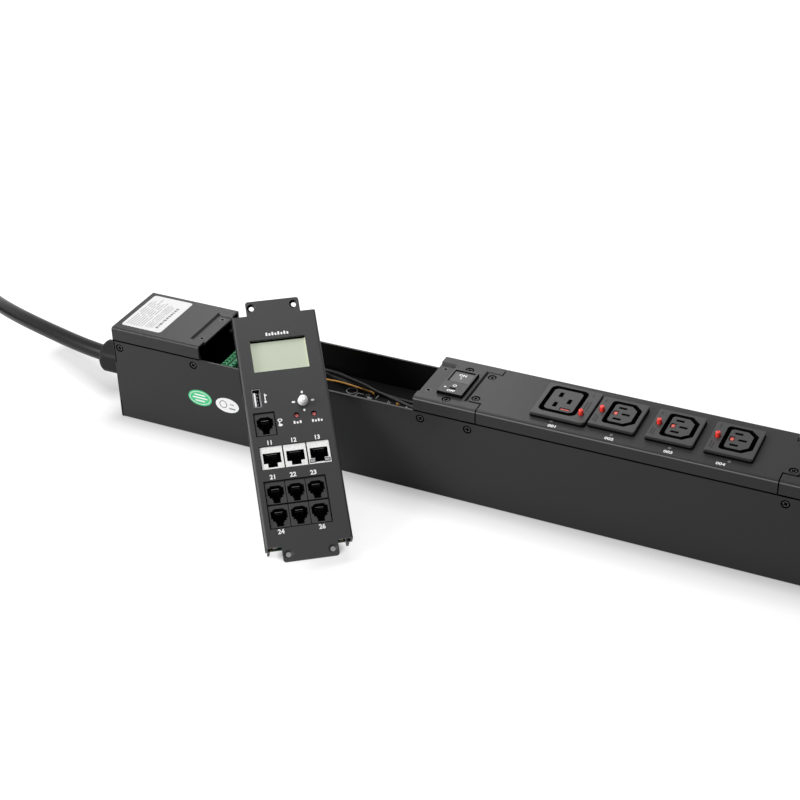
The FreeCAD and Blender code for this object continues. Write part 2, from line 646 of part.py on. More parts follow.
def make_coil():
    """The outer shape of the put-away turns of cord."""
    cx, cy = COIL_CENTRE
    inner = COIL_RADIUS - COIL_ROWS * CORD / 2
    outer = COIL_RADIUS + COIL_ROWS * CORD / 2
    height = COIL_LAYERS * CORD
    return rod(2 * outer, height, (cx, cy, 0)).cut(rod(2 * inner, height, (cx, cy, 0)))


def make_plug():
    """Round industrial plug lying at the end of the cord: grip, shroud and three pins."""
    x, y, z = TAIL[-1]
    half = PLUG_DIAMETER / 2
    neck = CORD / 2 + 4
    collar = PLUG_LENGTH * 0.6
    profile = [
        (0, CORD_BORE), (0, neck), (PLUG_NECK, half - 5), (collar, half - 4), (collar, half),
        (PLUG_LENGTH, half - 2), (PLUG_LENGTH, half - 5), (PLUG_FACE, half - 5), (PLUG_FACE, 0),
        (PLUG_NECK * 0.4, 0), (PLUG_NECK * 0.4, CORD_BORE),
    ]
    y += PLUG_NECK * 0.4
    face = Part.Face(Part.makePolygon([V(x + r, y - d, z) for d, r in profile + profile[:1]]))
    body = face.revolve(V(x, y, z), Y, 360)
    pins = []
    face_y = y - PLUG_FACE
    for k in range(3):
        turn = math.radians(90 + 120 * k)
        base = (x + 10 * math.cos(turn), face_y, z + 10 * math.sin(turn))
        pins.append(rod(PLUG_PIN, 28, base, -Y))
    return {"plug_body": body, "plug_pins": pins}


def module_place():
    """Where the module leans: foot corners on the floor, one tongue on the front wall's edge."""
    turn = FreeCAD.Rotation(Z, MODULE_YAW).multiply(FreeCAD.Rotation(X, MODULE_SLOPE))
    foot_v = TONGUE_INSET + TONGUE_CORNER - PANEL_LENGTH / 2
    tongue_u = PANEL_WIDTH / 2 - SHEET - FIT
    foot = turn.multVec(V(0, foot_v, TONGUE_CORNER - PANEL_DEPTH)).z - TONGUE_CORNER
    tab_end = turn.multVec(V(0, -PANEL_LENGTH / 2 - PANEL_TAB, -SHEET)).z
    lift = -min(foot, tab_end)
    edge = turn.multVec(V(tongue_u, 0, -PANEL_DEPTH))
    along = turn.multVec(Y)
    rise = (WALL_HEIGHT + LEAN_GAP - edge.z - lift) / along.z
    push = -(edge.y + rise * along.y)
    return FreeCAD.Placement(V(MODULE_X, push, lift), turn)


def opening(centre, size):
    """A rectangular cut through the module's face."""
    (u, v), (su, sv) = centre, size
    return box(u - su / 2, u + su / 2, v - sv / 2, v + sv / 2, -2 * SHEET, SHEET)


def grown(size, play):
    return tuple(s + 2 * play for s in size)


def make_panel():
    """The module's folded face: tabs, joggled side flanges and every cut-out."""
    half_u, half_v = PANEL_WIDTH / 2, PANEL_LENGTH / 2
    section = joggled_section(PANEL_WIDTH, FLANGE, PANEL_DEPTH)
    solid = prism([(u - half_u, -half_v, w) for u, w in section], Y * PANEL_LENGTH)
    solid = rounded(solid, lambda b: b.ZMin > -1e-4 and b.YLength > 1 and b.XLength < 1e-4, BEND)
    below = -FLANGE - SEAM
    for side in (-1, 1):
        v_end = side * half_v
        trim = box(-half_u, half_u, v_end - TONGUE_INSET, v_end + TONGUE_INSET, -PANEL_DEPTH, below)
        solid = solid.cut(trim)
        tab_shape = slab((0, side * half_v), (TAB_WIDTH - 1, 2 * PANEL_TAB), TAB_CORNER, -SHEET, 0)
        solid = solid.fuse(tab_shape)
    solid = rounded(solid, is_tongue_corner, TONGUE_CORNER)
    for u in (-TAB_HOLE_SPACING / 2, TAB_HOLE_SPACING / 2):
        for v in module_hole_rows():
            solid = solid.cut(countersink((u, v, 0), -Z, SCREW_SHANK + SCREW_PLAY, 2 * SHEET))
    du, dv, dw, dh = DISPLAY_WINDOW
    solid = solid.cut(opening((du, dv), (dw, dh)))
    solid = solid.cut(opening(USB[:2], grown(USB[2:], JACK_PLAY)))
    solid = solid.cut(opening(SERIAL_JACK, grown(JACK_SIZE, JACK_PLAY)))
    network = (NETWORK_SIZE[0] + 2 * NETWORK_PITCH, NETWORK_SIZE[1])
    solid = solid.cut(opening(NETWORK_JACKS, grown(network, JACK_PLAY)))
    sensors = (JACK_SIZE[0] + 2 * SENSOR_PITCH[0], JACK_SIZE[1] + SENSOR_PITCH[1])
    solid = solid.cut(opening(SENSOR_JACKS, grown(sensors, JACK_PLAY)))
    solid = solid.cut(rod(KNOB_HOLE, 4 * SHEET, (*KNOB_AT, -2 * SHEET)))
    for place in RESETS:
        solid = solid.cut(rod(RESET_HOLE, 4 * SHEET, (*place, -2 * SHEET)))
    return solid.removeSplitter()


def is_tongue_corner(bounds):
    across = bounds.XLength > SHEET / 2 and bounds.YLength < 1e-4 and bounds.ZLength < 1e-4
    return across and bounds.ZMax < -PANEL_DEPTH + 1e-3


def module_hole_rows():
    """The rows of tab holes match the tapped holes at the two ends of the bay."""
    reach = BAY_LENGTH / 2 + TAB_HOLE_INSET
    return (-reach, reach)


def make_module_board():
    half_u, half_v = BOARD_WIDTH / 2, BOARD_LENGTH / 2
    return box(-half_u, half_u, -half_v, half_v, -BOARD_DROP - BOARD_THICKNESS, -BOARD_DROP)


def post_places():
    u, v = BOARD_WIDTH / 2 - POST_INSET, BOARD_LENGTH / 2 - POST_INSET
    return [(i * u, j * v) for i in (-1, 1) for j in (-1, 1)]


def make_posts():
    """Hexagonal pillars between the face and the circuit board."""
    length = BOARD_DROP - SHEET
    return [hexagon(POST, length, (u, v, -BOARD_DROP), Z, X) for u, v in post_places()]


def block(centre, size, w0, w1):
    """A plain block on the module's board."""
    (u, v), (su, sv) = centre, size
    return box(u - su / 2, u + su / 2, v - sv / 2, v + sv / 2, w0, w1)


def make_display():
    """The display's frame stands on the board by four legs; its glass lies on the frame."""
    u, v, width, height = DISPLAY_WINDOW
    size = (width + 5, height + 6)
    glass_under = -DISPLAY_SINK - DISPLAY_GLASS
    frame_under = glass_under - DISPLAY_FRAME
    glass = block((u, v), (width + 4, height + 4), glass_under, -DISPLAY_SINK)
    frame = block((u, v), size, frame_under, glass_under)
    for i in (-1, 1):
        for j in (-1, 1):
            foot = (u + i * (size[0] / 2 - 3), v + j * (size[1] / 2 - 3))
            frame = frame.fuse(block(foot, (4, 4), -BOARD_DROP, frame_under))
    return {"display_glass": glass, "display_frame": frame.removeSplitter()}


def make_usb():
    """Upright port: a metal shell around a tongue."""
    u, v, width, height = USB
    top = -JACK_SINK / 2
    shell = block((u, v), (width, height), -BOARD_DROP, top)
    inner = block((u, v), grown((width, height), -USB_WALL), -JACK_CAVITY, top + 1)
    bar = block((u - width / 6, v), (width / 3, height - 2.4), -JACK_CAVITY, top - 1)
    return shell.cut(inner).fuse(bar)


def stepped_mouth(rows, face):
    """A mouth of stepped widths; rows give each step's top, bottom and width."""
    solids = [box(-w / 2, w / 2, v0, v1, -JACK_CAVITY + face, face + 1) for v1, v0, w in rows]
    return solids[0].multiFuse(solids[1:]).removeSplitter()


def make_jack(centre, size, rows):
    """An upright modular jack: a block with a keyed mouth, standing on the board."""
    face = -JACK_SINK
    solid = block((0, 0), size, -BOARD_DROP, face).cut(stepped_mouth(rows, face))
    solid.translate(V(centre[0], centre[1], 0))
    return solid


SIX_WAY_MOUTH = [(4.8, 3.9, 7.0), (3.9, -1.6, 10.8), (-1.6, -3.4, 8.4), (-3.4, -7.2, 4.8)]
EIGHT_WAY_MOUTH = [(3.4, -4.1, 12.2), (-4.1, -7.0, 6.6)]


def make_jacks():
    jacks = {"serial_jack": make_jack(SERIAL_JACK, JACK_SIZE, SIX_WAY_MOUTH)}
    for k in range(3):
        place = (NETWORK_JACKS[0] + (k - 1) * NETWORK_PITCH, NETWORK_JACKS[1])
        size = (NETWORK_PITCH - NETWORK_GAP, NETWORK_SIZE[1])
        jacks[f"network_jack_{k + 1}"] = make_jack(place, size, EIGHT_WAY_MOUTH)
    for k in range(6):
        row, column = divmod(k, 3)
        u = SENSOR_JACKS[0] + (column - 1) * SENSOR_PITCH[0]
        v = SENSOR_JACKS[1] + (0.5 - row) * SENSOR_PITCH[1]
        jacks[f"sensor_jack_{k + 1}"] = make_jack((u, v), JACK_SIZE, SIX_WAY_MOUTH)
    return jacks


def make_knob():
    """Four-way knob on a two-axis gimbal: base with posts, ring with pins, knob with its stem."""
    u, v = KNOB_AT
    hole = PIN + 2 * PIN_PLAY
    pivot = -KNOB_PIVOT
    base = block((u, v), (11.4, 7), -BOARD_DROP, pivot - 3)
    for side in (-1, 1):
        near, far = sorted((u + side * 3.6, u + side * 5.4))
        base = base.fuse(box(near, far, v - 1.4, v + 1.4, pivot - 4, pivot + 1.3))
    base = base.removeSplitter().cut(rod(hole, 12, (u - 6, v, pivot), X))
    ring = rod(6.4, 2.2, (u, v, pivot - 1.1)).fuse(rod(PIN, 9.8, (u - 4.9, v, pivot), X))
    ring = ring.cut(rod(4.2, 4, (u, v, pivot - 2))).cut(rod(hole, 8, (u, v - 4, pivot), Y))
    cap_under = pivot + 3.4
    knob = Part.makeCone(KNOB / 2, KNOB_TOP / 2, KNOB_RISE - KNOB_LIFT, V(u, v, KNOB_LIFT))
    knob = knob.makeChamfer(1.2, [e for e in knob.Edges if e.BoundBox.ZMin > KNOB_RISE - 1e-4])
    knob = knob.fuse(rod(KNOB_STEM, KNOB_LIFT - cap_under, (u, v, cap_under)))
    knob = knob.fuse(rod(2.2, cap_under - pivot + 1.2, (u, v, pivot - 1.2)))
    knob = knob.fuse(rod(PIN, 5.8, (u, v - 2.9, pivot), Y)).removeSplitter()
    return {"nav_base": base, "nav_gimbal": ring, "nav_knob": knob}


def make_resets():
    """Two small push switches on the board, with plungers sunk below the face."""
    cases, plungers = [], {}
    for k, (u, v) in enumerate(RESETS):
        case = block((u, v), (6, 6), -BOARD_DROP, -BOARD_DROP + 8)
        cases.append(case.cut(rod(PLUNGER + 0.6, 6, (u, v, -BOARD_DROP + 3))))
        length = BOARD_DROP - 5 - PLUNGER_SINK
        plungers[f"reset_plunger_{k + 1}"] = rod(PLUNGER, length, (u, v, -PLUNGER_SINK - length))
    return {"reset_switches": cases, **plungers}


def make_main_board():
    """The bay's circuit board and the pillars that carry it."""
    x0, x1 = BAY_START + MAIN_BOARD_MARGIN, BAY_END - 2
    y0, y1 = MAIN_BOARD_MARGIN, WIDTH - MAIN_BOARD_MARGIN
    board = box(x0, x1, y0, y1, MAIN_BOARD_Z, BOARD_TOP)
    pillars = []
    for x in (x0 + 5, (x0 + x1) / 2, x1 - 5):
        for y in (y0 + 5, y1 - 5):
            pillars.append(hexagon(STANDOFF, MAIN_BOARD_Z - SHEET, (x, y, SHEET), Z, X))
    return {"main_board": board, "board_pillars": pillars}


def make_terminal_block():
    """A row of screw terminals across the bay, ribbed between its poles."""
    length = TERMINAL_POLES * TERMINAL_PITCH
    y0 = MID_Y - length / 2
    x0, x1 = TERMINAL_X, TERMINAL_X + TERMINAL_WIDTH
    top = BOARD_TOP + TERMINAL_HEIGHT
    step = TERMINAL_WIDTH * 0.4
    outline = [
        (x0, BOARD_TOP), (x1, BOARD_TOP), (x1, top - 2.4), (x1 - step, top - 1.2),
        (x1 - step, top), (x0, top),
    ]
    block = prism([(x, y0, z) for x, z in outline], Y * length)
    for k in range(TERMINAL_POLES):
        y = y0 + (k + 0.5) * TERMINAL_PITCH
        block = block.cut(box(x1 - 2, x1 + 1, y - 1.3, y + 1.3, BOARD_TOP + 1.5, top - 4))
        block = block.cut(box(x0 + 1, x1 - step - 1, y - 1.2, y + 1.2, top - 2, top + 1))
    return block


def make_wires():
    """Loose wires that run from the terminal block along the bay."""
    start = TERMINAL_X + TERMINAL_WIDTH + 2 * FIT
    end = BREAKER_X - GUARD_HALF_X - BREAKER_PLAY / 2 - 2 * FIT
    rest = BOARD_TOP + BLACK_WIRE / 2 + FIT
    low = BOARD_TOP + AMBER_WIRE / 2 + FIT
    upper = [
        (start, 45.2, rest + 3), (130, 50, rest + 4.5), (173, 45.2, rest + 4.5), (217, 33, rest + 3.5),
        (end, 26, rest + 3),
    ]
    lower = [
        (start, 37.6, rest + 2), (130, 45, rest + 4), (173, 41, rest + 4), (217, 29.4, rest + 3),
        (end, 21, rest + 2.5),
    ]
    amber = [
        (start, 30.0, low + 3.5), (121, 35.5, low + 4.2), (152, 38, low + 3.4), (182, 36.6, low + 1),
        (208, 32.5, low),
    ]
    black = [tube("upper black wire", upper, BLACK_WIRE), tube("lower black wire", lower, BLACK_WIRE)]
    return {"black_wires": black, "amber_wire": tube("amber wire", amber, AMBER_WIRE)}


def save(name, shape, place=None):
    """One STEP file for a node; a list of solids becomes a group."""
    shape = Part.makeCompound(shape) if isinstance(shape, list) else shape.copy()
    if place:
        shape.Placement = place.multiply(shape.Placement)
    shape.translate(ROW_SHIFT)
    bad = [s for s in shape.Solids if not s.isValid() or s.Volume <= 0]
    if bad or not shape.Solids:
        print(f"check {name}: {len(shape.Solids)} solids, {len(bad)} faulty")
    shape.exportStep(f"parts/{name}.step")


def main():
    os.makedirs("parts", exist_ok=True)
    fixed = {
        "tray": make_tray(),
        "left_end_plate": make_end_plate(True),
        "right_end_plate": make_end_plate(False),
        "side_screws": [screw((x, y, z), inward) for x, y, z, inward in side_screw_places()],
        "cover_screws": tab_screws(),
        "breaker_screws": [screw((BREAKER_X, y, HEIGHT), -Z) for y in breaker_screw_rows()],
        "power_cord": [tube("lead", LEAD, CORD), tube("tail", TAIL, CORD)],
        "cord_coil": make_coil(),
        "lock_tabs": [make_lock_tab(c, s) for c, s in outlet_places()],
        "outlet_contacts": [blade for c, s in outlet_places() for blade in make_contacts(c, s)],
        "bus_bars": make_bus_bars(),
        "outlet_leds": make_leds(),
        "breaker_body": make_breaker_body(),
        "breaker_rocker": make_rocker(),
        "terminal_block": make_terminal_block(),
        **make_covers(), **make_gland(), **make_plug(), **make_main_board(), **make_wires(),
    }
    for k, (centre, shape) in enumerate(outlet_places()):
        fixed["outlet_c19" if k == 0 else f"outlet_c13_{k}"] = make_outlet(centre, shape)
        fixed[f"release_button_{k + 1}"] = make_button(centre, shape)
    module = {
        "controller_panel": make_panel(),
        "controller_board": make_module_board(),
        "panel_pillars": make_posts(),
        "usb_port": make_usb(),
        **make_display(), **make_jacks(), **make_knob(), **make_resets(),
    }
    place = module_place()
    for name, shape in fixed.items():
        save(name, shape)
    for name, shape in module.items():
        save(name, shape, place)
    print(f"length {LENGTH:.1f}, module at {place.Base}, {len(fixed) + len(module)} nodes")


main()
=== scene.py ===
import json
from math import cos, pi, radians, sin, tau
import bmesh
import bpy
from mathutils import Matrix, Vector


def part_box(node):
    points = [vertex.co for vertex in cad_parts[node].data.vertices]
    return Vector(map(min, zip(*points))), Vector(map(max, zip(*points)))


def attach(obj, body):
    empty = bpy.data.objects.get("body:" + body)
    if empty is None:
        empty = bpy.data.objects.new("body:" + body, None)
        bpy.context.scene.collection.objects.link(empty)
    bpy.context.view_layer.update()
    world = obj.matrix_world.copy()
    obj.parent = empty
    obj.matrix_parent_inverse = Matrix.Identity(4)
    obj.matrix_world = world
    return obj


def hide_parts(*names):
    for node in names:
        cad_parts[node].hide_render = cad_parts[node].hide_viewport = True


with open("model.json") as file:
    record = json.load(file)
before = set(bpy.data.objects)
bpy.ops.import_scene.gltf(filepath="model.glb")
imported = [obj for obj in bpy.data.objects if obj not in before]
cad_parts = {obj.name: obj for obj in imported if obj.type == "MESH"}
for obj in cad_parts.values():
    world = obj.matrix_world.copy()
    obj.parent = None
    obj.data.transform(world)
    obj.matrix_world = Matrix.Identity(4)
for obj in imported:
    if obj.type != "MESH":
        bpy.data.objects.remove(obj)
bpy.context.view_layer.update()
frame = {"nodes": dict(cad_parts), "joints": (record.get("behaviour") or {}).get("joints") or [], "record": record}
nodes = frame["nodes"]
joints = {j["name"]: j for j in frame["joints"]}

MM = 0.001
UNIT = "unit"
ROCKER = "breaker_rocker_body"

# Places on the casing are in millimetres from its left end, front wall and floor
CORNER = Vector(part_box("tray")[0])
LENGTH, WIDTH, WALL_TOP = [s / MM for s in Vector(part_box("tray")[1]) - CORNER]
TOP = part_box("outlet_cover")[1][2] / MM
MID_Y = WIDTH / 2

# Places on the controller module are in millimetres from the middle of its face
KNOB_AT = (10.5, 16.5)
KNOB_PIVOT = 9.0


def casing(x, y, z):
    return CORNER + Vector((x, y, z)) * MM


def frame_at(origin, right, up):
    """A matrix whose X is right, Y is up and Z is out of the face."""
    right, up = Vector(right).normalized(), Vector(up).normalized()
    out = right.cross(up)
    return Matrix.Translation(origin) @ Matrix((right, up, out)).transposed().to_4x4()


def module_frame():
    """The module's face, found from the knob's two tilting axes."""
    across, along = joints["nav_tilt_up_down"], joints["nav_tilt_left_right"]
    u, v = Vector(across["axis"]), Vector(along["axis"])
    w = u.cross(v)
    origin = Vector(across["pos_m"]) - (u * KNOB_AT[0] + v * KNOB_AT[1] - w * KNOB_PIVOT) * MM
    return frame_at(origin, u, v)


def level_face(x, y, z):
    """A face that looks up, with its axes along the casing's."""
    return frame_at(casing(x, y, z), (1, 0, 0), (0, 1, 0))


def casing_box(node):
    """A node's two corners in the casing's millimetres."""
    return [(Vector(c) - CORNER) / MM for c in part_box(node)]


MODULE = module_frame()
BOTTOM = level_face(0, 0, 0)
TOP_FACE = level_face(0, 0, TOP)
FRONT_FACE = frame_at(casing(0, 0, 0), (1, 0, 0), (0, 0, 1))
BACK_FACE = frame_at(casing(0, WIDTH, 0), (-1, 0, 0), (0, 0, 1))
BOARD_FACE = level_face(0, 0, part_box("main_board")[1][2] / MM)

# Sockets: place along the casing; from there and the middle line, the groove's middle and size, the
# release button, the lock tab, and raised bars with their ends across the casing
BIG_SOCKET = {
    "x": 343.8, "middle": (0.5, 1.2), "groove": (26.8, 33.5),
    "button": (16.7, -10), "tab": (4.7, -9.1, 6.2, 1.7),
    "marks": [(16.3, 26, 36), (18.4, 24, 37), (17.2, 43, 46)],
}
SMALL_SOCKET = {
    "middle": (0.5, 0.6), "groove": (21.8, 29),
    "button": (-13.8, 0), "tab": (-4.6, 0.6, 2.4, 4.2),
    "marks": [(-16, 15.5, 24), (-14.1, 15, 22.5), (-15.2, 41, 44.5)],
}
SOCKETS = [BIG_SOCKET] + [{"x": x, **SMALL_SOCKET} for x in (385.9, 425.7, 465.5)]
SOCKET_NODES = ["outlet_c19", "outlet_c13_1", "outlet_c13_2", "outlet_c13_3"]
# Heights over the top face: the outlets' plates, the step round them and the breaker's guard and rocker
PLATE_TOP = 3.2
PLATE_STEP = 1.15
GUARD_TOP = 2.4
ROCKER_TOP = 1.5
# The upright port on the module: middle and size
USB = (-20.5, 22.6, 5.8, 13.4)


# Materials

COAT_ROUGHNESS = 0.2
GRAIN_DETAIL = 3.0
GRAIN_STOPS = (0.3, 0.7)
GLOSS_SPREAD = 0.06
BUMP_STRENGTH = 0.5


def set_inputs(node, values):
    """Gives a node's inputs values, or links them to other nodes' sockets."""
    for key, value in values.items():
        if isinstance(value, bpy.types.NodeSocket):
            node.id_data.links.new(value, node.inputs[key])
        else:
            node.inputs[key].default_value = value


def new_node(tree, kind, values):
    made = tree.nodes.new("ShaderNode" + kind)
    set_inputs(made, values)
    return made


def position(tree):
    return new_node(tree, "TexCoord", {}).outputs["Object"]


def math_node(operation, value, other):
    """The result of an operation on a socket and a number or another socket."""
    made = new_node(value.id_data, "Math", {0: value, 1: other})
    made.operation = operation
    return made.outputs["Value"]


def between(factor, low, high, start=0.0, end=1.0):
    """From low to high while the factor goes from start to end."""
    values = {"Value": factor, "From Min": start, "From Max": end, "To Min": low, "To Max": high}
    return new_node(factor.id_data, "MapRange", values).outputs["Result"]


def material(name, colour, roughness, metallic=0.0, coat=0.0, shine=0.5):
    """A principled material and its shader node."""
    made = bpy.data.materials.new(name)
    made.use_nodes = True
    shader = made.node_tree.nodes["Principled BSDF"]
    set_inputs(shader, {
        "Base Color": (*colour, 1.0), "Roughness": roughness, "Metallic": metallic,
        "Coat Weight": coat, "Coat Roughness": COAT_ROUGHNESS, "Specular IOR Level": shine,
    })
    return made, shader


def grained(
    name, colour, roughness, metallic=0.0, coat=0.0, shine=0.5, scale=900.0, spread=0.12, depth=0.00006,
):
    """A material whose colour, gloss and surface vary with a fine noise."""
    made, shader = material(name, colour, roughness, metallic, coat, shine)
    tree = made.node_tree
    values = {"Vector": position(tree), "Scale": scale, "Detail": GRAIN_DETAIL}
    grain = new_node(tree, "TexNoise", values).outputs["Fac"]
    ramp = new_node(tree, "ValToRGB", {"Fac": grain})
    for stop, place, change in zip(ramp.color_ramp.elements, GRAIN_STOPS, (-spread, spread)):
        stop.position = place
        stop.color = (*[min(1.0, c * (1 + change)) for c in colour], 1.0)
    bump = new_node(tree, "Bump", {"Height": grain, "Strength": BUMP_STRENGTH, "Distance": depth})
    set_inputs(shader, {
        "Base Color": ramp.outputs["Color"], "Normal": bump.outputs["Normal"],
        "Roughness": between(grain, roughness - GLOSS_SPREAD, roughness + GLOSS_SPREAD),
    })
    return made


def inside_box(tree, place, low, high):
    """One inside a box given in millimetres in a face's frame, and nought outside it."""
    origin = place.to_translation()
    factor = None
    for k in range(3):
        axis = place.col[k].to_3d()
        along = new_node(tree, "VectorMath", {0: position(tree), 1: axis})
        along.operation = "DOT_PRODUCT"
        middle = origin.dot(axis) + (low[k] + high[k]) / 2 * MM
        off = math_node("SUBTRACT", along.outputs["Value"], middle)
        off = math_node("ABSOLUTE", off, 0.0)
        hit = math_node("LESS_THAN", off, (high[k] - low[k]) / 2 * MM)
        factor = hit if factor is None else math_node("MULTIPLY", factor, hit)
    return factor


def lined(made, inner, *boxes, shine=None):
    """The material with another colour and shine inside boxes: a face's frame and two corners each."""
    tree = made.node_tree
    shader = tree.nodes["Principled BSDF"]
    factor = inside_box(tree, *boxes[0])
    for box in boxes[1:]:
        factor = math_node("MAXIMUM", factor, inside_box(tree, *box))
    mix = new_node(tree, "Mix", {})
    mix.data_type = "RGBA"
    outer = shader.inputs["Base Color"].links[0].from_socket
    set_inputs(mix, {"Factor": factor, "A": outer, "B": (*inner, 1.0)})
    set_inputs(shader, {"Base Color": mix.outputs["Result"]})
    if shine is not None:
        level = shader.inputs["Specular IOR Level"].default_value
        set_inputs(shader, {"Specular IOR Level": between(factor, level, shine)})
    return made


BLACK = (0.004, 0.004, 0.004)
UNLIT = 0.02  # The shine inside painted shade
COAT_HIGHLIGHT = (0.15, 0.15, 0.153)
PANEL_HIGHLIGHT = (0.09, 0.09, 0.092)
PANEL_SHADE = (0.01, 0.01, 0.0103)
COAT = {"colour": (0.0264, 0.0264, 0.0272), "roughness": 0.46, "scale": 1500.0, "depth": 0.00008}
NYLON = {"roughness": 0.48, "scale": 1200.0}
OUTLET_NYLON = {"colour": (0.03, 0.03, 0.031), "shine": 0.36, **NYLON}
# Boxes where light or shade is painted: a face and two corners each
DEEP = -30
FAR = 200
# A painted highlight along the lower part of the covers' front bend
FRONT_BEND = (FRONT_FACE, (240, TOP - 1.9, -0.35), (LENGTH, TOP - 1.05, 0.1))
# Painted shade down the left side of the module's panel, and a painted highlight along its bend
PANEL_SIDE = (MODULE, (-29.6, -86, -23), (-29.2, 86, -1.1))
PANEL_BEND = (MODULE, (-29.6, -84, -1.1), (-28.9, 18, -0.3))
# Painted shade: black inside the channel, where little light reaches
CHANNEL_INSIDE = (BOTTOM, (1.45, 1.45, 1.55), (LENGTH - 1.45, WIDTH - 1.45, TOP - 3.25))
# Painted shade: the breaker case is black below the guard's top, on its sides and in the window round the rocker
GUARD_INSIDE = (TOP_FACE, (0, 0, 2 * DEEP), (LENGTH, WIDTH, GUARD_TOP - 0.2))
# Painted shade: black inside the jacks' mouths
JACK_MOUTHS = (MODULE, (-FAR, -FAR, DEEP), (FAR, FAR, -0.95))


def with_painted_shade(made, *boxes):
    """The material with painted shade: black and without shine inside boxes."""
    return lined(made, BLACK, *boxes, shine=UNLIT)


def coated():
    """Powder coat outside, with a painted highlight along the covers' front bend and painted black shade inside
    the channel.
    """
    made = lined(grained("powder_coat", shine=0.12, coat=0.1, **COAT), COAT_HIGHLIGHT, FRONT_BEND)
    return lined(made, BLACK, CHANNEL_INSIDE)


def panel_coated():
    """The panel's powder coat, with painted shade down its left side and a painted highlight along the lower part
    of that bend.
    """
    made = lined(grained("panel_coat", shine=0.3, **COAT), PANEL_SHADE, PANEL_SIDE, shine=UNLIT)
    return lined(made, PANEL_HIGHLIGHT, PANEL_BEND)


def deep_socket(socket):
    """Outlet nylon, with painted shade: black inside the groove and slots and in the step under the plate."""
    width, height = socket["groove"]
    x, y = socket["x"] + socket["middle"][0], MID_Y + socket["middle"][1]
    low = (x - width / 2 - 0.1, y - height / 2 - 0.1, DEEP)
    high = (x + width / 2 + 0.1, y + height / 2 + 0.1, PLATE_TOP - 0.15)
    step = (TOP_FACE, (x - 60.0, 0.0, DEEP), (x + 60.0, WIDTH, PLATE_STEP))
    return with_painted_shade(grained("outlet_nylon", **OUTLET_NYLON), (TOP_FACE, low, high), step)


def hollow_port():
    """Plated shell of the upright port, with painted shade: black inside."""
    made = grained("plated_steel", (0.26, 0.26, 0.27), 0.3, metallic=1.0)
    u, v, width, height = USB
    low = (u - width / 2, v - height / 2, DEEP)
    high = (u + width / 2, v + height / 2, -0.75)
    return lined(made, BLACK, (MODULE, low, high))


def painted_glow(made, colour, strength):
    """The material with a faint glow, painted light that evens out shade."""
    shader = made.node_tree.nodes["Principled BSDF"]
    set_inputs(shader, {"Emission Color": (*colour, 1.0), "Emission Strength": strength})
    return made


LOOKS = {
    "casing": coated(),
    "panel": panel_coated(),
    "screw": grained("black_screw", (0.066, 0.066, 0.067), 0.42, metallic=0.2, shine=0.3),
    "gland": grained("gland_nylon", (0.012, 0.012, 0.0123), 0.5, shine=0.12),
    "seal": grained("seal_rubber", (0.012, 0.012, 0.012), 0.7),
    "cord": grained("cord_jacket", (0.009, 0.009, 0.0094), 0.34, shine=0.16, scale=500.0),
    "plug": grained("plug_nylon", (0.025, 0.025, 0.026), 0.45),
    "pin_metal": grained("plated_pin", (0.75, 0.7, 0.55), 0.25, metallic=1.0),
    "outlet": grained("outlet_nylon", **OUTLET_NYLON),
    "button": grained("red_button", (0.8, 0.025, 0.01), 0.35, coat=0.2),
    "lock_tab": grained("red_tab", (0.72, 0.12, 0.1), 0.45),
    "copper": grained("bus_copper", (0.72, 0.32, 0.18), 0.3, metallic=1.0),
    "light_pipe": grained("light_pipe", (0.16, 0.17, 0.16), 0.25),
    "breaker": with_painted_shade(grained("breaker_case", (0.03, 0.03, 0.0305), shine=0.3, **NYLON), GUARD_INSIDE),
    "rocker": grained("rocker_nylon", (0.05, 0.05, 0.052), 0.45, shine=0.4, scale=1200.0),
    "green_board": grained("green_board", (0.01, 0.07, 0.038), 0.35),
    "black_board": grained("black_board", (0.005, 0.005, 0.0055), 0.5, shine=0.06),
    "steel": hollow_port(),
    "display_frame": grained("display_frame", (0.03, 0.03, 0.03), 0.5),
    # Painted light: the glass glows faintly, evening out the shade of its sunken window
    "display": painted_glow(
        grained("display_glass", (0.19, 0.21, 0.165), 0.3, scale=20.0, spread=0.03, depth=0.0),
        (0.6, 0.66, 0.52), 0.52,
    ),
    "network_jack": with_painted_shade(grained("white_jack", (0.8, 0.8, 0.79), 0.4, shine=0.35), JACK_MOUTHS),
    "modular_jack": with_painted_shade(grained("black_jack", (0.026, 0.026, 0.027), 0.45, shine=0.35), JACK_MOUTHS),
    "knob": grained("white_knob", (0.86, 0.86, 0.86), 0.4, spread=0.03),
    "nav_inner": grained("knob_base", (0.02, 0.02, 0.02), 0.5),
    "switch": grained("switch_case", (0.02, 0.02, 0.02), 0.5),
    "plunger": grained("red_plunger", (0.78, 0.17, 0.165), 0.4),
    "terminal": grained("green_terminal", (0.02, 0.2, 0.08), 0.4),
    "black_wire": grained("black_wire", (0.006, 0.006, 0.006), 0.42, shine=0.22),
    "amber_wire": grained("amber_wire", (0.62, 0.3, 0.05), 0.4),
}
FLAT = 0.00001
WHITE_INK = grained("white_ink", (0.84, 0.84, 0.84), 0.6, spread=0.03, depth=FLAT)
GREY_INK = grained("grey_ink", (0.36, 0.36, 0.37), 0.7, depth=FLAT)
DARK_INK = grained("dark_ink", (0.16, 0.16, 0.16), 0.7, depth=FLAT)
GREEN_INK = grained("green_ink", (0.05, 0.51, 0.205), 0.4, depth=FLAT)
LABEL_PAPER = grained("label_paper", (0.6, 0.6, 0.6), 0.5, scale=300.0, spread=0.03, depth=FLAT)
DULL_GOLD = grained("dull_gold", (0.3, 0.19, 0.05), 0.5, metallic=0.3)
GLINT = grained("contact_glint", (0.2, 0.2, 0.2), 0.5)
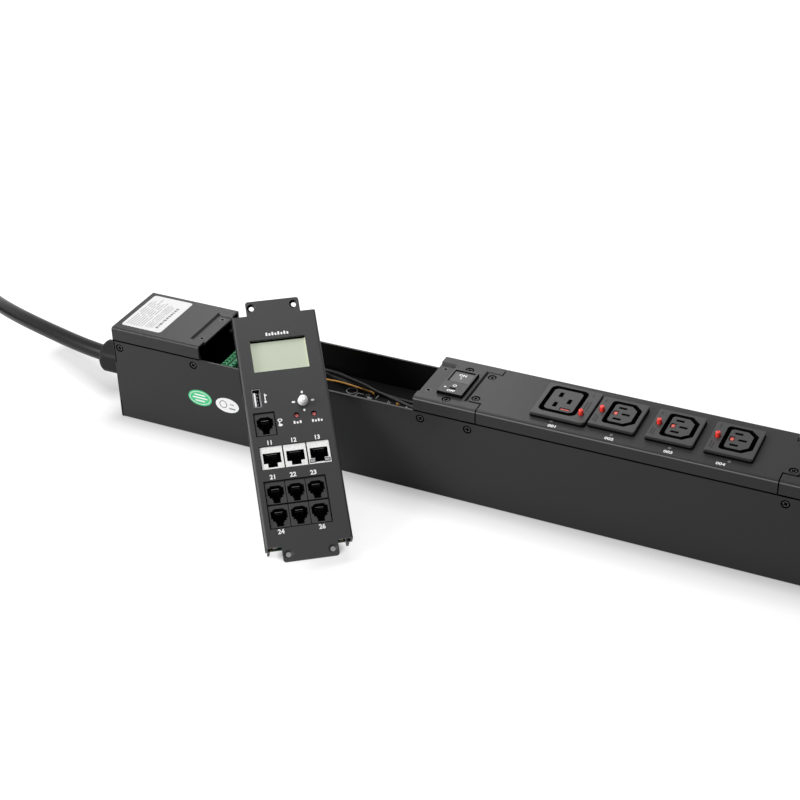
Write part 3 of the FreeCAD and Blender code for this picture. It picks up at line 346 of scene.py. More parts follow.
# The jacks' contacts, darkened to the painted shade inside their mouths
CONTACT = grained("contact_in_shade", (0.03, 0.03, 0.027), 0.4, metallic=0.5)
EMBOSSED = grained("embossed_mark", (0.016, 0.016, 0.016), 0.6, shine=0.3)
# Lighter grey for the rims and sleeves in the tapped holes: painted light on their lit far walls
TAPPED = grained("tapped_rim", (0.07, 0.07, 0.07), 0.4, shine=0.3)
# Black for dark joints, and for painted shade in gaps and hollows
JOINT_AND_SHADE = grained("joint_and_shade_black", (0.003, 0.003, 0.003), 0.9, shine=0.0)
# Pale paint for the lit inner walls of the display's window, a painted highlight
LIT_EDGE = grained("lit_edge_paint", (0.72, 0.76, 0.55), 0.35, spread=0.05)
# Lighter green: on the terminal's ridges a painted highlight of their lit tops, and the board's sockets
LIGHT_GREEN = grained("terminal_ridge", (0.17, 0.55, 0.29), 0.4)
DARK_GREEN = grained("terminal_rib", (0.03, 0.24, 0.11), 0.4)
STRAP = grained("strap_weave", (0.03, 0.03, 0.032), 0.85, shine=0.2, scale=1800.0, spread=0.4, depth=0.0002)


def dress_nodes():
    """Every CAD node takes the look of its slot in the record; each outlet has its own groove."""
    for part in frame["record"]["subparts"]:
        mesh = nodes[part["node"]].data
        mesh.materials.clear()
        mesh.materials.append(LOOKS[part["material_slot"]])
    for socket, node in zip(SOCKETS, SOCKET_NODES):
        nodes[node].data.materials[0] = deep_socket(socket)


# Building small pieces in millimetres

IDENTITY = Matrix.Identity(4)


def add_vertices(bm, loop, at):
    return [bm.verts.new(at @ Vector(p)) for p in loop]


def bridge(bm, rings):
    """Faces between each ring of vertices and the next."""
    for lower, upper in zip(rings, rings[1:]):
        for k in range(len(lower)):
            n = (k + 1) % len(lower)
            bm.faces.new((lower[k], lower[n], upper[n], upper[k]))


def loft(bm, loops, at=IDENTITY, ring=False):
    """A solid through loops with the same number of points, capped or closed to a ring."""
    rings = [add_vertices(bm, loop, at) for loop in loops]
    bridge(bm, rings + rings[:1] if ring else rings)
    if not ring:
        bm.faces.new(rings[0][::-1])
        bm.faces.new(rings[-1])


def circle(radius, z, sides):
    return [(x, y, z) for x, y in oval(0.0, 0.0, 2 * radius, 2 * radius, sides)]


def lathe(bm, profile, at=IDENTITY, sides=24):
    """A turned solid: profile is a list of radius and height."""
    loft(bm, [circle(r, z, sides) for r, z in profile], at)


def turned(bm, section, at=IDENTITY, sides=24, outline=circle):
    """A turned ring: section is a closed list of radius and height."""
    loft(bm, [outline(r, z, sides) for r, z in section], at, ring=True)


CORNER_STEPS = 4


def rect(cx, cy, sx, sy, corner=0.0):
    """The outline of a rectangle with rounded corners."""
    signs = ((-1, -1), (1, -1), (1, 1), (-1, 1))
    if corner == 0.0:
        return [(cx + i * sx / 2, cy + j * sy / 2) for i, j in signs]
    points = []
    for k, (i, j) in enumerate(signs):
        mx, my = cx + i * (sx / 2 - corner), cy + j * (sy / 2 - corner)
        for s in range(CORNER_STEPS + 1):
            a = pi + pi / 2 * (k + s / CORNER_STEPS)
            points.append((mx + corner * cos(a), my + corner * sin(a)))
    return points


def oval(cx, cy, sx, sy, sides=40):
    steps = [tau * k / sides for k in range(sides)]
    return [(cx + sx / 2 * cos(a), cy + sy / 2 * sin(a)) for a in steps]


def slab(bm, outline, z0, z1, edge=0.0):
    """An outline raised from z0 to z1, with its upper edge eased."""
    loops = [[(x, y, z) for x, y in outline] for z in (z0, z1 - edge)]
    if edge:
        mx = sum(p[0] for p in outline) / len(outline)
        my = sum(p[1] for p in outline) / len(outline)
        keep = 1 - edge / max(max(abs(x - mx), abs(y - my)) for x, y in outline)
        loops.append([(mx + (x - mx) * keep, my + (y - my) * keep, z1) for x, y in outline])
    loft(bm, loops)


def band(bm, outer, inner, z0, z1):
    """A flat closed ring between two outlines with the same number of points."""
    levels = [(outer, z0), (outer, z1), (inner, z1), (inner, z0)]
    loft(bm, [[(x, y, z) for x, y in outline] for outline, z in levels], ring=True)


INK = 0.06  # The thickness of print and of painted shade


def flat_mark(bm, outline, z=0.0):
    """A flat shape on a surface at a height of z, for print and for painted shade."""
    slab(bm, outline, z, z + INK)


def flat_mark_ring(bm, outer, inner, z=0.0):
    """A flat ring on a surface at a height of z, for print and for painted shade."""
    band(bm, outer, inner, z, z + INK)


FIGURE_HEIGHT = 0.7  # The height of a figure in Blender's font, as a share of the size
BOLDNESS = 0.045


def lettering(bm, text, x, y, height, z=0.0):
    """Printed plain figures with their middle at a place."""
    curve = bpy.data.curves.new("lettering", "FONT")
    curve.body = text
    curve.size = height / FIGURE_HEIGHT
    curve.align_x = curve.align_y = "CENTER"
    curve.extrude = INK / 2
    curve.offset = BOLDNESS * height
    curve.resolution_u = 3
    holder = bpy.data.objects.new("lettering", curve)
    mesh = bpy.data.meshes.new_from_object(holder)
    mesh.transform(Matrix.Translation((x, y, z + INK / 2)))
    bm.from_mesh(mesh)
    bpy.data.objects.remove(holder)
    bpy.data.curves.remove(curve)
    bpy.data.meshes.remove(mesh)


SHARP_ANGLE = radians(35)


def add_object(name, data):
    made = bpy.data.objects.new(name, data)
    bpy.context.scene.collection.objects.link(made)
    return made


def piece(name, fill, look, place, body=UNIT, smooth=False):
    """A mesh that fill builds in millimetres in the frame of a face."""
    bm = bmesh.new()
    fill(bm)
    bm.transform(place @ Matrix.Diagonal((MM, MM, MM, 1.0)))
    bmesh.ops.recalc_face_normals(bm, faces=bm.faces)
    mesh = bpy.data.meshes.new(name)
    bm.to_mesh(mesh)
    bm.free()
    if smooth:
        mesh.shade_smooth()
        mesh.set_sharp_from_angle(angle=SHARP_ANGLE)
    mesh.materials.append(look)
    made = add_object(name, mesh)
    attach(made, body)
    return made


# Camera, floor and light

CAMERA_AT = Vector((369.1, -910.9, 688.3)) * MM
CAMERA_LOOK = Vector((-0.3645, 0.7635, -0.5331))
CAMERA_ROLL = radians(-1.2536)
FOCAL_PIXELS = 1669.3
IMAGE_PIXELS = 800


def add_camera():
    data = bpy.data.cameras.new("photo_camera")
    data.sensor_width = 36.0
    data.lens = data.sensor_width * FOCAL_PIXELS / IMAGE_PIXELS
    camera = add_object("photo_camera", data)
    turn = CAMERA_LOOK.to_track_quat("-Z", "Y").to_matrix().to_4x4()
    camera.matrix_world = Matrix.Translation(CAMERA_AT) @ turn @ Matrix.Rotation(CAMERA_ROLL, 4, "Z")
    bpy.context.scene.camera = camera


def seen_directly(tree):
    """One for camera, glossy and transmission rays, nought for the rays that light things."""
    path = new_node(tree, "LightPath", {}).outputs
    either = math_node("MAXIMUM", path["Is Camera Ray"], path["Is Glossy Ray"])
    return math_node("MAXIMUM", either, path["Is Transmission Ray"])


WHITE = (1.0, 1.0, 1.0, 1.0)
FLOOR_REACH = 6.0
FLOOR_SINK = 0.0002
# The floor's colour and the world's strength, for rays that light things and rays that see them
FLOOR_LIT, FLOOR_SEEN = 0.55, 0.35
WORLD_LIT, WORLD_SEEN = 0.2, 1.0
# How white the floor is by itself, by the distance from the casing in metres: less white near the casing, a
# painted shade along its foot
FLOOR_LIFT = [(0.0, 0.36), (0.004, 0.41), (0.012, 0.57), (0.03, 0.75), (0.12, 0.82), (0.4, 1.0)]
# Shaded lines on the floor, under the module's lower tab and under the cord: middle, turn in degrees,
# half length, distances in metres between which the shade thins out, and its level
SHADES = [
    ((211.2, -93.4), 36.2, 15.2, 0.003, 0.009, 0.3),
    ((-62.5, 50.0), -22.6, 36.0, 0.005, 0.024, 0.42),
]


def floor_distance(tree, middle, turn, half_x, half_y):
    """The distance in metres from a turned rectangle on the floor, with half sizes in millimetres."""
    place, angle = (middle.x, middle.y, 0.0), (0.0, 0.0, radians(turn))
    local = new_node(tree, "Mapping", {"Vector": position(tree), "Location": place, "Rotation": angle})
    local.vector_type = "TEXTURE"
    spot = local.outputs["Vector"]
    half, nought = (half_x * MM, half_y * MM, 0.0), (0.0, 0.0, 0.0)
    steps = [("ABSOLUTE", nought), ("SUBTRACT", half), ("MAXIMUM", nought), ("LENGTH", nought)]
    for operation, value in steps:
        step = new_node(tree, "VectorMath", {0: spot, 1: value})
        step.operation = operation
        spot = step.outputs["Value" if operation == "LENGTH" else "Vector"]
    return spot


def add_floor():
    """A pale floor that is white to the camera, whiter away from the object, and keeps the shadow; near the object
    and along the shaded lines its shade is painted.
    """
    corners = [(x, y, 0) for x, y in rect(0, 0, 2 * FLOOR_REACH, 2 * FLOOR_REACH)]
    mesh = bpy.data.meshes.new("floor")
    mesh.from_pydata(corners, [], [(0, 1, 2, 3)])
    floor = add_object("floor", mesh)
    floor.location.z = -FLOOR_SINK
    made, shader = material("floor_paper", (FLOOR_LIT, FLOOR_LIT, FLOOR_LIT), 0.9, shine=0.0)
    tree = made.node_tree
    seen = seen_directly(tree)
    grey = between(seen, FLOOR_LIT, FLOOR_SEEN)
    tone = new_node(tree, "CombineColor", {"Red": grey, "Green": grey, "Blue": grey})
    away = floor_distance(tree, casing(LENGTH / 2, MID_Y, 0), 0.0, LENGTH / 2, MID_Y)
    lift = new_node(tree, "ValToRGB", {"Fac": away})
    stops = lift.color_ramp.elements
    for place, _ in FLOOR_LIFT[1:-1]:
        stops.new(place)
    for stop, (place, white) in zip(stops, FLOOR_LIFT):
        stop.position = place
        stop.color = (white, white, white, 1.0)
    level = math_node("MULTIPLY", seen, lift.outputs["Color"])
    for middle, turn, half, start, end, low in SHADES:
        line = floor_distance(tree, casing(*middle, 0), turn, half, 0.0)
        level = math_node("MULTIPLY", level, between(line, low, 1.0, start, end))
    set_inputs(shader, {
        "Base Color": tone.outputs["Color"], "Emission Color": WHITE, "Emission Strength": level,
    })
    mesh.materials.append(made)


# Area lamps: place, aim and size in metres, and power in watts
LAMPS = {
    "soft_key": ((-0.17, 0.1, 0.6), (-0.09, 0.0, 0.05), (0.5, 0.36), 2.0),
    "left_fill": ((-0.85, -0.86, 0.7), (0.0, 0.0, 0.04), (0.6, 0.6), 17.0),
    "back_sheen": ((-0.45, 0.68, 0.54), (-0.12, 0.0, 0.08), (0.5, 0.3), 1.7),
}


def add_lamp(name, at, aim, size, power):
    lamp = bpy.data.lights.new(name, "AREA")
    lamp.shape = "RECTANGLE"
    lamp.size, lamp.size_y = size
    lamp.energy = power
    turn = (Vector(aim) - Vector(at)).to_track_quat("-Z", "Y").to_matrix().to_4x4()
    add_object(name, lamp).matrix_world = Matrix.Translation(at) @ turn


def add_light():
    world = bpy.data.worlds.new("studio")
    bpy.context.scene.world = world
    world.use_nodes = True
    tree = world.node_tree
    strength = between(seen_directly(tree), WORLD_LIT, WORLD_SEEN)
    set_inputs(tree.nodes["Background"], {"Color": WHITE, "Strength": strength})
    for name, lamp in LAMPS.items():
        add_lamp(name, *lamp)


# Cord

CORD = 12.4  # Thickness
# The route from the gland to the coil, and from the coil to the plug
LEAD = [
    (-18, 30, 32), (-40, 30.4, 32), (-104, 46, 32.2), (-150, 66, 26.5),
    (-192, 95, 14.5), (-234, 126, 7), (-266, 147.5, 6.3),
]
TAIL = [(-382.3, 43.4, 18.6), (-382, 18, 20.5), (-380, -4, 24), (-380, -22, 24)]
COIL_CENTRE = (-296.5, 65.4)
COIL_OUTER = 86.4
COIL_INNER = 61.6
COIL_STEPS = 24


def coil_points():
    """Turns that wind inwards on the floor, climb, and wind outwards on top."""
    start, inward, climb, outward = 90.0, 2.0, 1.0, 2.25
    # The control points lie outside the curve by this share
    swell = 1 / (0.75 + 0.25 * cos(tau / COIL_STEPS))
    points = []
    for k in range(1, round((inward + climb + outward) * COIL_STEPS) + 1):
        turn = k / COIL_STEPS
        if turn < inward:
            share, layer = 1 - turn / inward, 0.0
        elif turn < inward + climb:
            share, layer = 0.0, (turn - inward) / climb
        else:
            share, layer = (turn - inward - climb) / outward, 1.0
        radius = (COIL_INNER + share * (COIL_OUTER - COIL_INNER)) * swell
        angle = radians(start + 360.0 * turn)
        x, y = COIL_CENTRE
        points.append((x + radius * cos(angle), y + radius * sin(angle), CORD * (0.5 + layer)))
    return points


def add_cord():
    route = [casing(*p) for p in LEAD + coil_points() + TAIL]
    curve = bpy.data.curves.new("power_cord", "CURVE")
    curve.dimensions = "3D"
    curve.bevel_depth = CORD / 2 * MM
    curve.bevel_resolution = 5
    curve.resolution_u = 6
    spline = curve.splines.new("NURBS")
    spline.points.add(len(route) - 1)
    for point, place in zip(spline.points, route):
        point.co = (*place, 1.0)
    spline.order_u = 3
    spline.use_endpoint_u = True
    cord = add_object("mains_cord", curve)
    curve.materials.append(LOOKS["cord"])
    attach(cord, UNIT)
    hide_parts("power_cord", "cord_coil")


def add_strap():
    """A woven strap round the turns of the coil, with its end folded over."""
    width, gap, thick = 16.0, 0.3, 1.0
    middle = (COIL_INNER + COIL_OUTER) / 2
    across = COIL_OUTER - COIL_INNER + CORD + 2 * gap
    high = 2 * CORD + gap - thick
    place = frame_at(casing(COIL_CENTRE[0], COIL_CENTRE[1] - middle, 0), (0, 1, 0), (0, 0, 1))

    def fill(bm):
        outer = rect(0, high / 2 + thick, across + 2 * thick, high + 2 * thick, 5.0)
        inner = rect(0, high / 2 + thick, across, high, 4.0)
        band(bm, outer, inner, -width / 2, width / 2)
        top = high + 2 * thick
        end = [(-9.0, top), (14.0, top), (14.0, top + 0.8), (-8.0, top + 1.1)]
        slab(bm, end, -width / 2 + 0.5, width / 2 - 0.5)

    piece("coil_strap", fill, STRAP, place)


NUT_FLATS = 24.4
NUT_SECTION = [
    (10.4, -7.3), (13.4, -7.3), (13.4, -25.2), (12.9, -26.8), (11.9, -28.4), (10.3, -29.8),
    (8.4, -30.8), (7.1, -31.1), (6.6, -30.9), (6.6, -18.2), (10.4, -17.5),
]
NUT_SIDES = 120
GLAND_Z = 32.0


def add_gland_nut():
    """The gland's six-sided nut with a rounded end."""
    def six_sided(radius, z, sides):
        points = []
        for k in range(sides):
            a = tau * k / sides
            flat = NUT_FLATS / 2 / cos((a + pi / 6) % (pi / 3) - pi / 6)
            reach = min(radius, flat)
            points.append((reach * cos(a), reach * sin(a), z))
        return points

    def fill(bm):
        turned(bm, NUT_SECTION, sides=NUT_SIDES, outline=six_sided)

    place = frame_at(casing(0, MID_Y, GLAND_Z), (0, 1, 0), (0, 0, 1))
    made = piece("gland_dome_nut", fill, LOOKS["gland"], place, smooth=True)
    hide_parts("gland_nut")


PLUG_AT = (-380, -14, 24)
PLUG_RIBS = 20
# A rib's place along the plug, and its inner and outer distance from the middle
RIB_ENDS = [(27, 18.6, 19.6), (31, 18.9, 20.9), (54, 19.5, 21.4), (58, 19.6, 20.4)]
RIB_FOOT, RIB_CREST = 1.1, 0.7
COLLARS = [(66, 69), (72, 75)]


def add_plug_grip():
    """Ribs along the plug's grip and two rings at its collar."""
    place = frame_at(casing(*PLUG_AT), (1, 0, 0), (0, 0, 1))

    def fill(bm):
        loops = [
            [(-RIB_FOOT, low, z), (RIB_FOOT, low, z), (RIB_CREST, high, z), (-RIB_CREST, high, z)]
            for z, low, high in RIB_ENDS
        ]
        for k in range(PLUG_RIBS):
            loft(bm, loops, Matrix.Rotation(tau * k / PLUG_RIBS, 4, "Z"))
        for low, high in COLLARS:
            band(bm, oval(0, 0, 48.0, 48.0, 64), oval(0, 0, 45.0, 45.0, 64), low, high)

    piece("plug_ribs", fill, LOOKS["plug"], place, smooth=True)


# Screws

SIDE_SCREWS = (5.4, 68.9, 250.9, 286.2, 505.8, 569.3)
SIDE_SCREW_Z = 61.7
TAB_SCREWS = [(x, y) for x in (286.3, 505.7) for y in (15.05, 44.95)]
BREAKER_SCREWS = [(268, 6.1), (268, 47.9)]
TAPPED_HOLES = [(x, y) for x in (69, 250.8) for y in (15.05, 44.95)]
RECESS_FLOOR = -1.7
SCREW_SIDES = 24
SPOT_TURN = 0.5  # From each screw to the next, in radians
HEAD_SINK = -0.3
HEAD_RIM = 1.98
# Half length, half width and height of the cross at its mouth and foot, and of the black in its bottom
CROSS_MOUTH, CROSS_FOOT = (1.6, 0.62, HEAD_SINK), (1.0, 0.42, -1.5)
CROSS_SHADE = [(1.26, 0.5, -0.95), (1.55, 0.605, -0.22)]
# Profile and sections: radius and height
SCREW_PROFILE = [(2.1, HEAD_SINK - 0.12), (1.5, -1.6)]
for thread in range(6):
    SCREW_PROFILE += [(1.5, -1.9 - 0.7 * thread), (1.3, -2.25 - 0.7 * thread)]
SCREW_PROFILE.append((1.0, -6.4))
SEAT_SHADE_SECTION = [(3.14, -0.03), (2.3, -0.7), (2.14, -0.2), (3.05, -0.09)]
TAPPED_SECTION = [(1.4, -1.2), (1.66, -1.2), (1.66, 0), (2.1, 0), (2.0, 0.1), (1.4, 0.1)]


def cross(arm, half, z):
    """The outline of a cross."""
    corners = [(half, arm), (-half, arm), (-half, half), (-arm, half), (-arm, -half), (-half, -half)]
    corners += [(-x, -y) for x, y in corners]
    return [(x, y, z) for x, y in corners]


def screw(bm, at):
    """A countersunk screw with a tapered cross recess, its head just below z = 0."""
    rim = add_vertices(bm, circle(HEAD_RIM, HEAD_SINK, SCREW_SIDES), at)
    mouth = add_vertices(bm, cross(*CROSS_MOUTH), at)
    foot = add_vertices(bm, cross(*CROSS_FOOT), at)
    edges = [bm.edges.new((loop[k - 1], loop[k])) for loop in (rim, mouth) for k in range(len(loop))]
    bmesh.ops.triangle_fill(bm, use_beauty=True, edges=edges)
    bridge(bm, [mouth, foot])
    bm.faces.new(foot)
    rings = [rim] + [add_vertices(bm, circle(r, z, SCREW_SIDES), at) for r, z in SCREW_PROFILE]
    bridge(bm, rings)
    bm.faces.new(rings[-1])


def seat_shade(bm, at):
    """Painted shade: black in the countersink round the head, and in the bottom of the screw's cross."""
    turned(bm, SEAT_SHADE_SECTION, at, 32)
    loft(bm, [cross(*level) for level in CROSS_SHADE], at)


def spots(face, places):
    """A frame in millimetres at each place on a face, each turned a little more."""
    local = Matrix.Translation(face.to_translation() / MM) @ face.to_3x3().to_4x4()
    return [
        local @ (Matrix.Translation((x, y, 0)) @ Matrix.Rotation(SPOT_TURN * k, 4, "Z"))
        for k, (x, y) in enumerate(places)
    ]


def at_each(shape, places):
    """A fill for piece that puts a shape at each place."""
    def fill(bm):
        for at in places:
            shape(bm, at)

    return fill


def add_screws():
    """Detailed screws where the CAD has plain ones, with painted shade round them, and sleeves in the empty tapped
    holes, grey as painted light on their lit far walls.
    """
    sides = spots(FRONT_FACE, [(x, SIDE_SCREW_Z) for x in SIDE_SCREWS])
    sides += spots(BACK_FACE, [(-x, SIDE_SCREW_Z) for x in SIDE_SCREWS])
    sets = {
        "side_screws": sides,
        "cover_screws": spots(TOP_FACE, TAB_SCREWS),
        "breaker_screws": spots(TOP_FACE, BREAKER_SCREWS),
    }
    for node, places in sets.items():
        name = node.replace("screws", "cross_screws")
        made = piece(name, at_each(screw, places), LOOKS["screw"], IDENTITY, smooth=True)
        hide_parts(node)
        name = node.replace("screws", "screw_shade")
        piece(name, at_each(seat_shade, places), JOINT_AND_SHADE, IDENTITY)

    def rims(bm):
        for x, y in TAPPED_HOLES:
            turned(bm, TAPPED_SECTION, Matrix.Translation((x, y, RECESS_FLOOR)))

    piece("tapped_rim_highlights", rims, TAPPED, TOP_FACE)


# Labels and marks on the casing

PAPER = 0.1  # The thickness of a label
LABEL = (21.1, 31, 33.8, 48, 2.2)
LABEL_BLOCKS = (2.2, 1.4, 2.8, 1.4, 2.2, 2.8, 1.6, 2.4, 1.4, 2.6, 1.8)
GREEN_AT = (72.3, 34.5)


def label_row(bm, x, start, runs, stroke, gap):
    """Bars along one row of the label, in the place of print."""
    for run in runs:
        flat_mark(bm, rect(x, start + run / 2, stroke, run), PAPER)
        start += run + gap


def add_label():
    """White rating label with rows of plain grey bars."""
    def sheet(bm):
        slab(bm, rect(*LABEL), 0, PAPER)

    def rows(bm):
        for k in range(7):
            runs = (17 - 2 * (k % 3), 9 + k % 4, 7 + 3 * (k % 2))
            label_row(bm, 7.4 + 2.1 * k, 9.6, runs, 0.75, 1.6)
        for k in range(4):
            runs = (8 + 2 * (k % 2), 11 - k, 12 + k % 3)
            label_row(bm, 22.8 + 1.7 * k, 11.0, runs, 0.6, 1.2)

    def blocks(bm):
        start = 12.0
        for k, run in enumerate(LABEL_BLOCKS):
            flat_mark(bm, rect(31.6, start + run / 2, 2.2 - 0.5 * (k % 2), run), PAPER)
            start += run + 0.9

    piece("rating_label", sheet, LABEL_PAPER, TOP_FACE)
    piece("rating_rows", rows, GREY_INK, TOP_FACE)
    piece("rating_blocks", blocks, DARK_INK, TOP_FACE)


def add_marks():
    """Two oval stickers on the front wall, without words."""
    def green(bm):
        slab(bm, oval(*GREEN_AT, 20.0, 13.3), 0, PAPER)

    def ring(bm):
        flat_mark_ring(bm, oval(*GREEN_AT, 17.6, 11.0), oval(*GREEN_AT, 16.8, 10.2), PAPER)
        for y, width in ((37.0, 9.0), (34.5, 12.4), (32.0, 8.0)):
            flat_mark(bm, rect(GREEN_AT[0], y, width, 1.1), PAPER)

    def white(bm):
        slab(bm, oval(95.3, 33.6, 19.5, 12.2), 0, PAPER)

    def bars(bm):
        flat_mark_ring(bm, oval(92.0, 34.0, 6.4, 6.4, 24), oval(92.0, 34.0, 5.2, 5.2, 24), PAPER)
        flat_mark(bm, rect(99.4, 31.4, 5.0, 1.0), PAPER)
        flat_mark(bm, rect(99.4, 35.0, 3.4, 0.7), PAPER)

    piece("green_sticker", green, GREEN_INK, FRONT_FACE)
    piece("green_sticker_ring", ring, WHITE_INK, FRONT_FACE)
    piece("white_sticker", white, WHITE_INK, FRONT_FACE)
    piece("white_sticker_bars", bars, DARK_INK, FRONT_FACE)


def add_seams():
    """The dark joints between the channel and its left end plate, and under the covers' flanges, where the black
    strip is the joint widened with painted shade.
    """
    def ends(bm):
        for low, high in ((0.5, 15.0), (48.5, WALL_TOP - 0.5)):
            flat_mark(bm, rect(0.9, (low + high) / 2, 0.8, high - low))

    def flanges(bm, side):
        for cover in ("left_cover", "breaker_cover", "outlet_cover", "right_cover"):
            low, high = [c.x for c in casing_box(cover)]
            flat_mark(bm, rect(side * (low + high) / 2, WALL_TOP + 0.45, high - low - 0.4, 1.2))

    piece("end_seams", ends, JOINT_AND_SHADE, FRONT_FACE)
    piece("front_seams_and_shade", lambda bm: flanges(bm, 1), JOINT_AND_SHADE, FRONT_FACE)
    piece("back_seams_and_shade", lambda bm: flanges(bm, -1), JOINT_AND_SHADE, BACK_FACE)


# Outlets

NUMBER_PLACES = [(346.4, 2.9), (386.0, 3.4), (426.2, 3.7), (461.0, 3.9)]
NUMBER_HEIGHT = 2.9
MARK_WIDTH = 0.8
MARK_RISE = 0.14


def add_outlet_details():
    """Black rings of painted shade round the foot of the outlets' plates, their numbers, raised marks, and dark
    edges round the lock tabs.
    """
    def shade_rings(bm):
        for node in SOCKET_NODES:
            low, high = casing_box(node)
            middle, size = (low + high) / 2, high - low
            outer = rect(middle.x, middle.y, size.x + 0.9, size.y + 0.9, 2.0)
            inner = rect(middle.x, middle.y, size.x - 1.2, size.y - 1.2, 1.2)
            flat_mark_ring(bm, outer, inner)

    def numbers(bm):
        for k, (x, y) in enumerate(NUMBER_PLACES):
            lettering(bm, f"00{k + 1}", x, y, NUMBER_HEIGHT)

    def marks(bm):
        for socket in SOCKETS:
            for dx, y0, y1 in socket["marks"]:
                bar = rect(socket["x"] + dx, (y0 + y1) / 2, MARK_WIDTH, y1 - y0, 0.3)
                slab(bm, bar, PLATE_TOP, PLATE_TOP + MARK_RISE, edge=0.1)

    def tab_edges(bm):
        for socket in SOCKETS:
            dx, dy, sx, sy = socket["tab"]
            cx, cy = socket["x"] + dx, MID_Y + dy
            outer, inner = rect(cx, cy, sx + 1.0, sy + 1.0), rect(cx, cy, sx + 0.3, sy + 0.3)
            flat_mark_ring(bm, outer, inner, PLATE_TOP)

    piece("outlet_plate_shade", shade_rings, JOINT_AND_SHADE, TOP_FACE)
    piece("outlet_numbers", numbers, WHITE_INK, TOP_FACE)
    piece("outlet_marks", marks, EMBOSSED, TOP_FACE)
    piece("lock_tab_edges", tab_edges, JOINT_AND_SHADE, TOP_FACE)


CAP_RADIUS = 1.7
CAP_SINK = 0.5  # How much lower the cap is than the CAD's button


def add_release_buttons():
    """Red buttons with an eased rim and a dimple in the top."""
    for k, socket in enumerate(SOCKETS):
        node = f"release_button_{k + 1}"
        low, high = [Vector(c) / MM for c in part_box(node)]
        height = high.z - low.z - CAP_SINK
        profile = [
            (CAP_RADIUS, 0), (CAP_RADIUS, height - 0.55),
            (CAP_RADIUS - 0.18, height - 0.18), (CAP_RADIUS - 0.5, height),
            (0.85, height), (0.65, height - 0.22), (0.3, height - 0.36),
        ]
        dx, dy = socket["button"]
        place = level_face(socket["x"] + dx, MID_Y + dy, low.z)
        made = piece(
            f"release_cap_{k + 1}", lambda bm: lathe(bm, profile, sides=32), LOOKS["button"],
            place, body=f"{node}_body", smooth=True,
        )
        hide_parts(node)


# Breaker

def add_breaker_marks():
    """ON and a bar on the rocker, and OFF, a ring, an arrow and a slot on the guard."""
    def off(bm):
        lettering(bm, "OFF", 268.0, 13.9, 2.3, GUARD_TOP)
        flat_mark_ring(bm, oval(268.1, 21.1, 2.9, 2.7, 24), oval(268.1, 21.1, 1.9, 1.7, 24), GUARD_TOP)
        flat_mark(bm, [(261.7, 16.7), (263.8, 17.5), (261.7, 18.4)], GUARD_TOP)

    def on(bm):
        lettering(bm, "ON", 267.8, 36.6, 2.5, ROCKER_TOP)
        flat_mark(bm, rect(267.7, 33.0, 0.7, 2.2), ROCKER_TOP)

    def slot(bm):
        flat_mark(bm, rect(268.0, 17.4, 4.4, 1.5), GUARD_TOP)

    piece("breaker_off_marks", off, WHITE_INK, TOP_FACE)
    piece("breaker_slot", slot, JOINT_AND_SHADE, TOP_FACE)
    piece("breaker_on_marks", on, WHITE_INK, TOP_FACE, body=ROCKER)


# Controller module

NETWORK_JACKS = [(-16.2, -21.6), (-0.1, -21.6), (16.0, -21.6)]
SENSOR_JACKS = [(-3.45 + 13.8 * i, -55.4 + 16.5 * j) for j in (0.5, -0.5) for i in (-1, 0, 1)]
SERIAL_JACK = (-17.4, 2.9)
SIX_WAY_JACKS = SENSOR_JACKS + [SERIAL_JACK]
# Half width, bottom, top and thickness of the black strips of painted shade beside each step of a six-way mouth
MOUTH_SHADE = [
    (0, 4.8, 5.4, 3.2), (3.5, 3.9, 4.8, 0.75), (5.4, -1.6, 3.9, 0.2),
    (4.2, -3.4, -1.6, 0.4), (2.4, -4.7, -3.4, 0.7),
]
# Print: rows of bars in the place of words, figures, dots and bars
WORDS = [(0.1, 69.7, 8, 2.1, 2.4, 1.25), (4.7, 1.6, 3, 2.1, 2.1, 1.2), (18.3, 1.4, 4, 2, 2, 1.2)]
FIGURES = [
    ("11", -16.4, -11, 3), ("12", -0.1, -11.1, 3), ("13", 16.2, -11.1, 3),
    ("21", -17.6, -35.9, 3.1), ("22", -3.9, -35.8, 3.1), ("23", 10, -36.1, 3.1),
    ("24", -17.6, -74.9, 3.1), ("26", 10.1, -75, 3.1),
]
DOTS = [(10.8, 23.3, 1.5, 1.9), (10.6, 9.9, 1.5, 1.9), (-14.9, 19.2, 1.7, 1.7), (-7.1, 0.9, 3, 1.8)]
BARS = [
    (4, 16.6, 2.3, 1.2, 0.5), (17.3, 16.6, 2.3, 1.2, 0.5), (-14.9, 22.6, 0.7, 5.6, 0.3),
    (-14, 24, 1.2, 0.7), (-7.6, 2.7, 0.7, 2),
]
DISPLAY = (-0.2, 53.9, 38.8, 24.2)
# Heights of the jacks, the display and the board, from the module's face
JACK_FACE = -0.8
DISPLAY_TOP = -3.5
BOARD_TOP = -16.0


def bar_row(bm, cx, cy, count, pitch, height, stroke):
    """A row of short upright bars in the place of a word."""
    for k in range(count):
        x = cx + (k - (count - 1) / 2) * pitch
        tall = height if k % 2 == 0 else 0.72 * height
        flat_mark(bm, rect(x, cy - (height - tall) / 2, stroke, tall))


def add_module_marks():
    """The white print on the module's face."""
    def fill(bm):
        for word in WORDS:
            bar_row(bm, *word)
        for figure in FIGURES:
            lettering(bm, *figure)
        for dot in DOTS:
            flat_mark(bm, oval(*dot, 16))
        for bar in BARS:
            flat_mark(bm, rect(*bar))
        flat_mark_ring(bm, oval(-7.1, 4.5, 3.4, 2.4, 16), oval(-7.1, 4.5, 2.0, 1.2, 16))

    piece("module_marks", fill, WHITE_INK, MODULE)


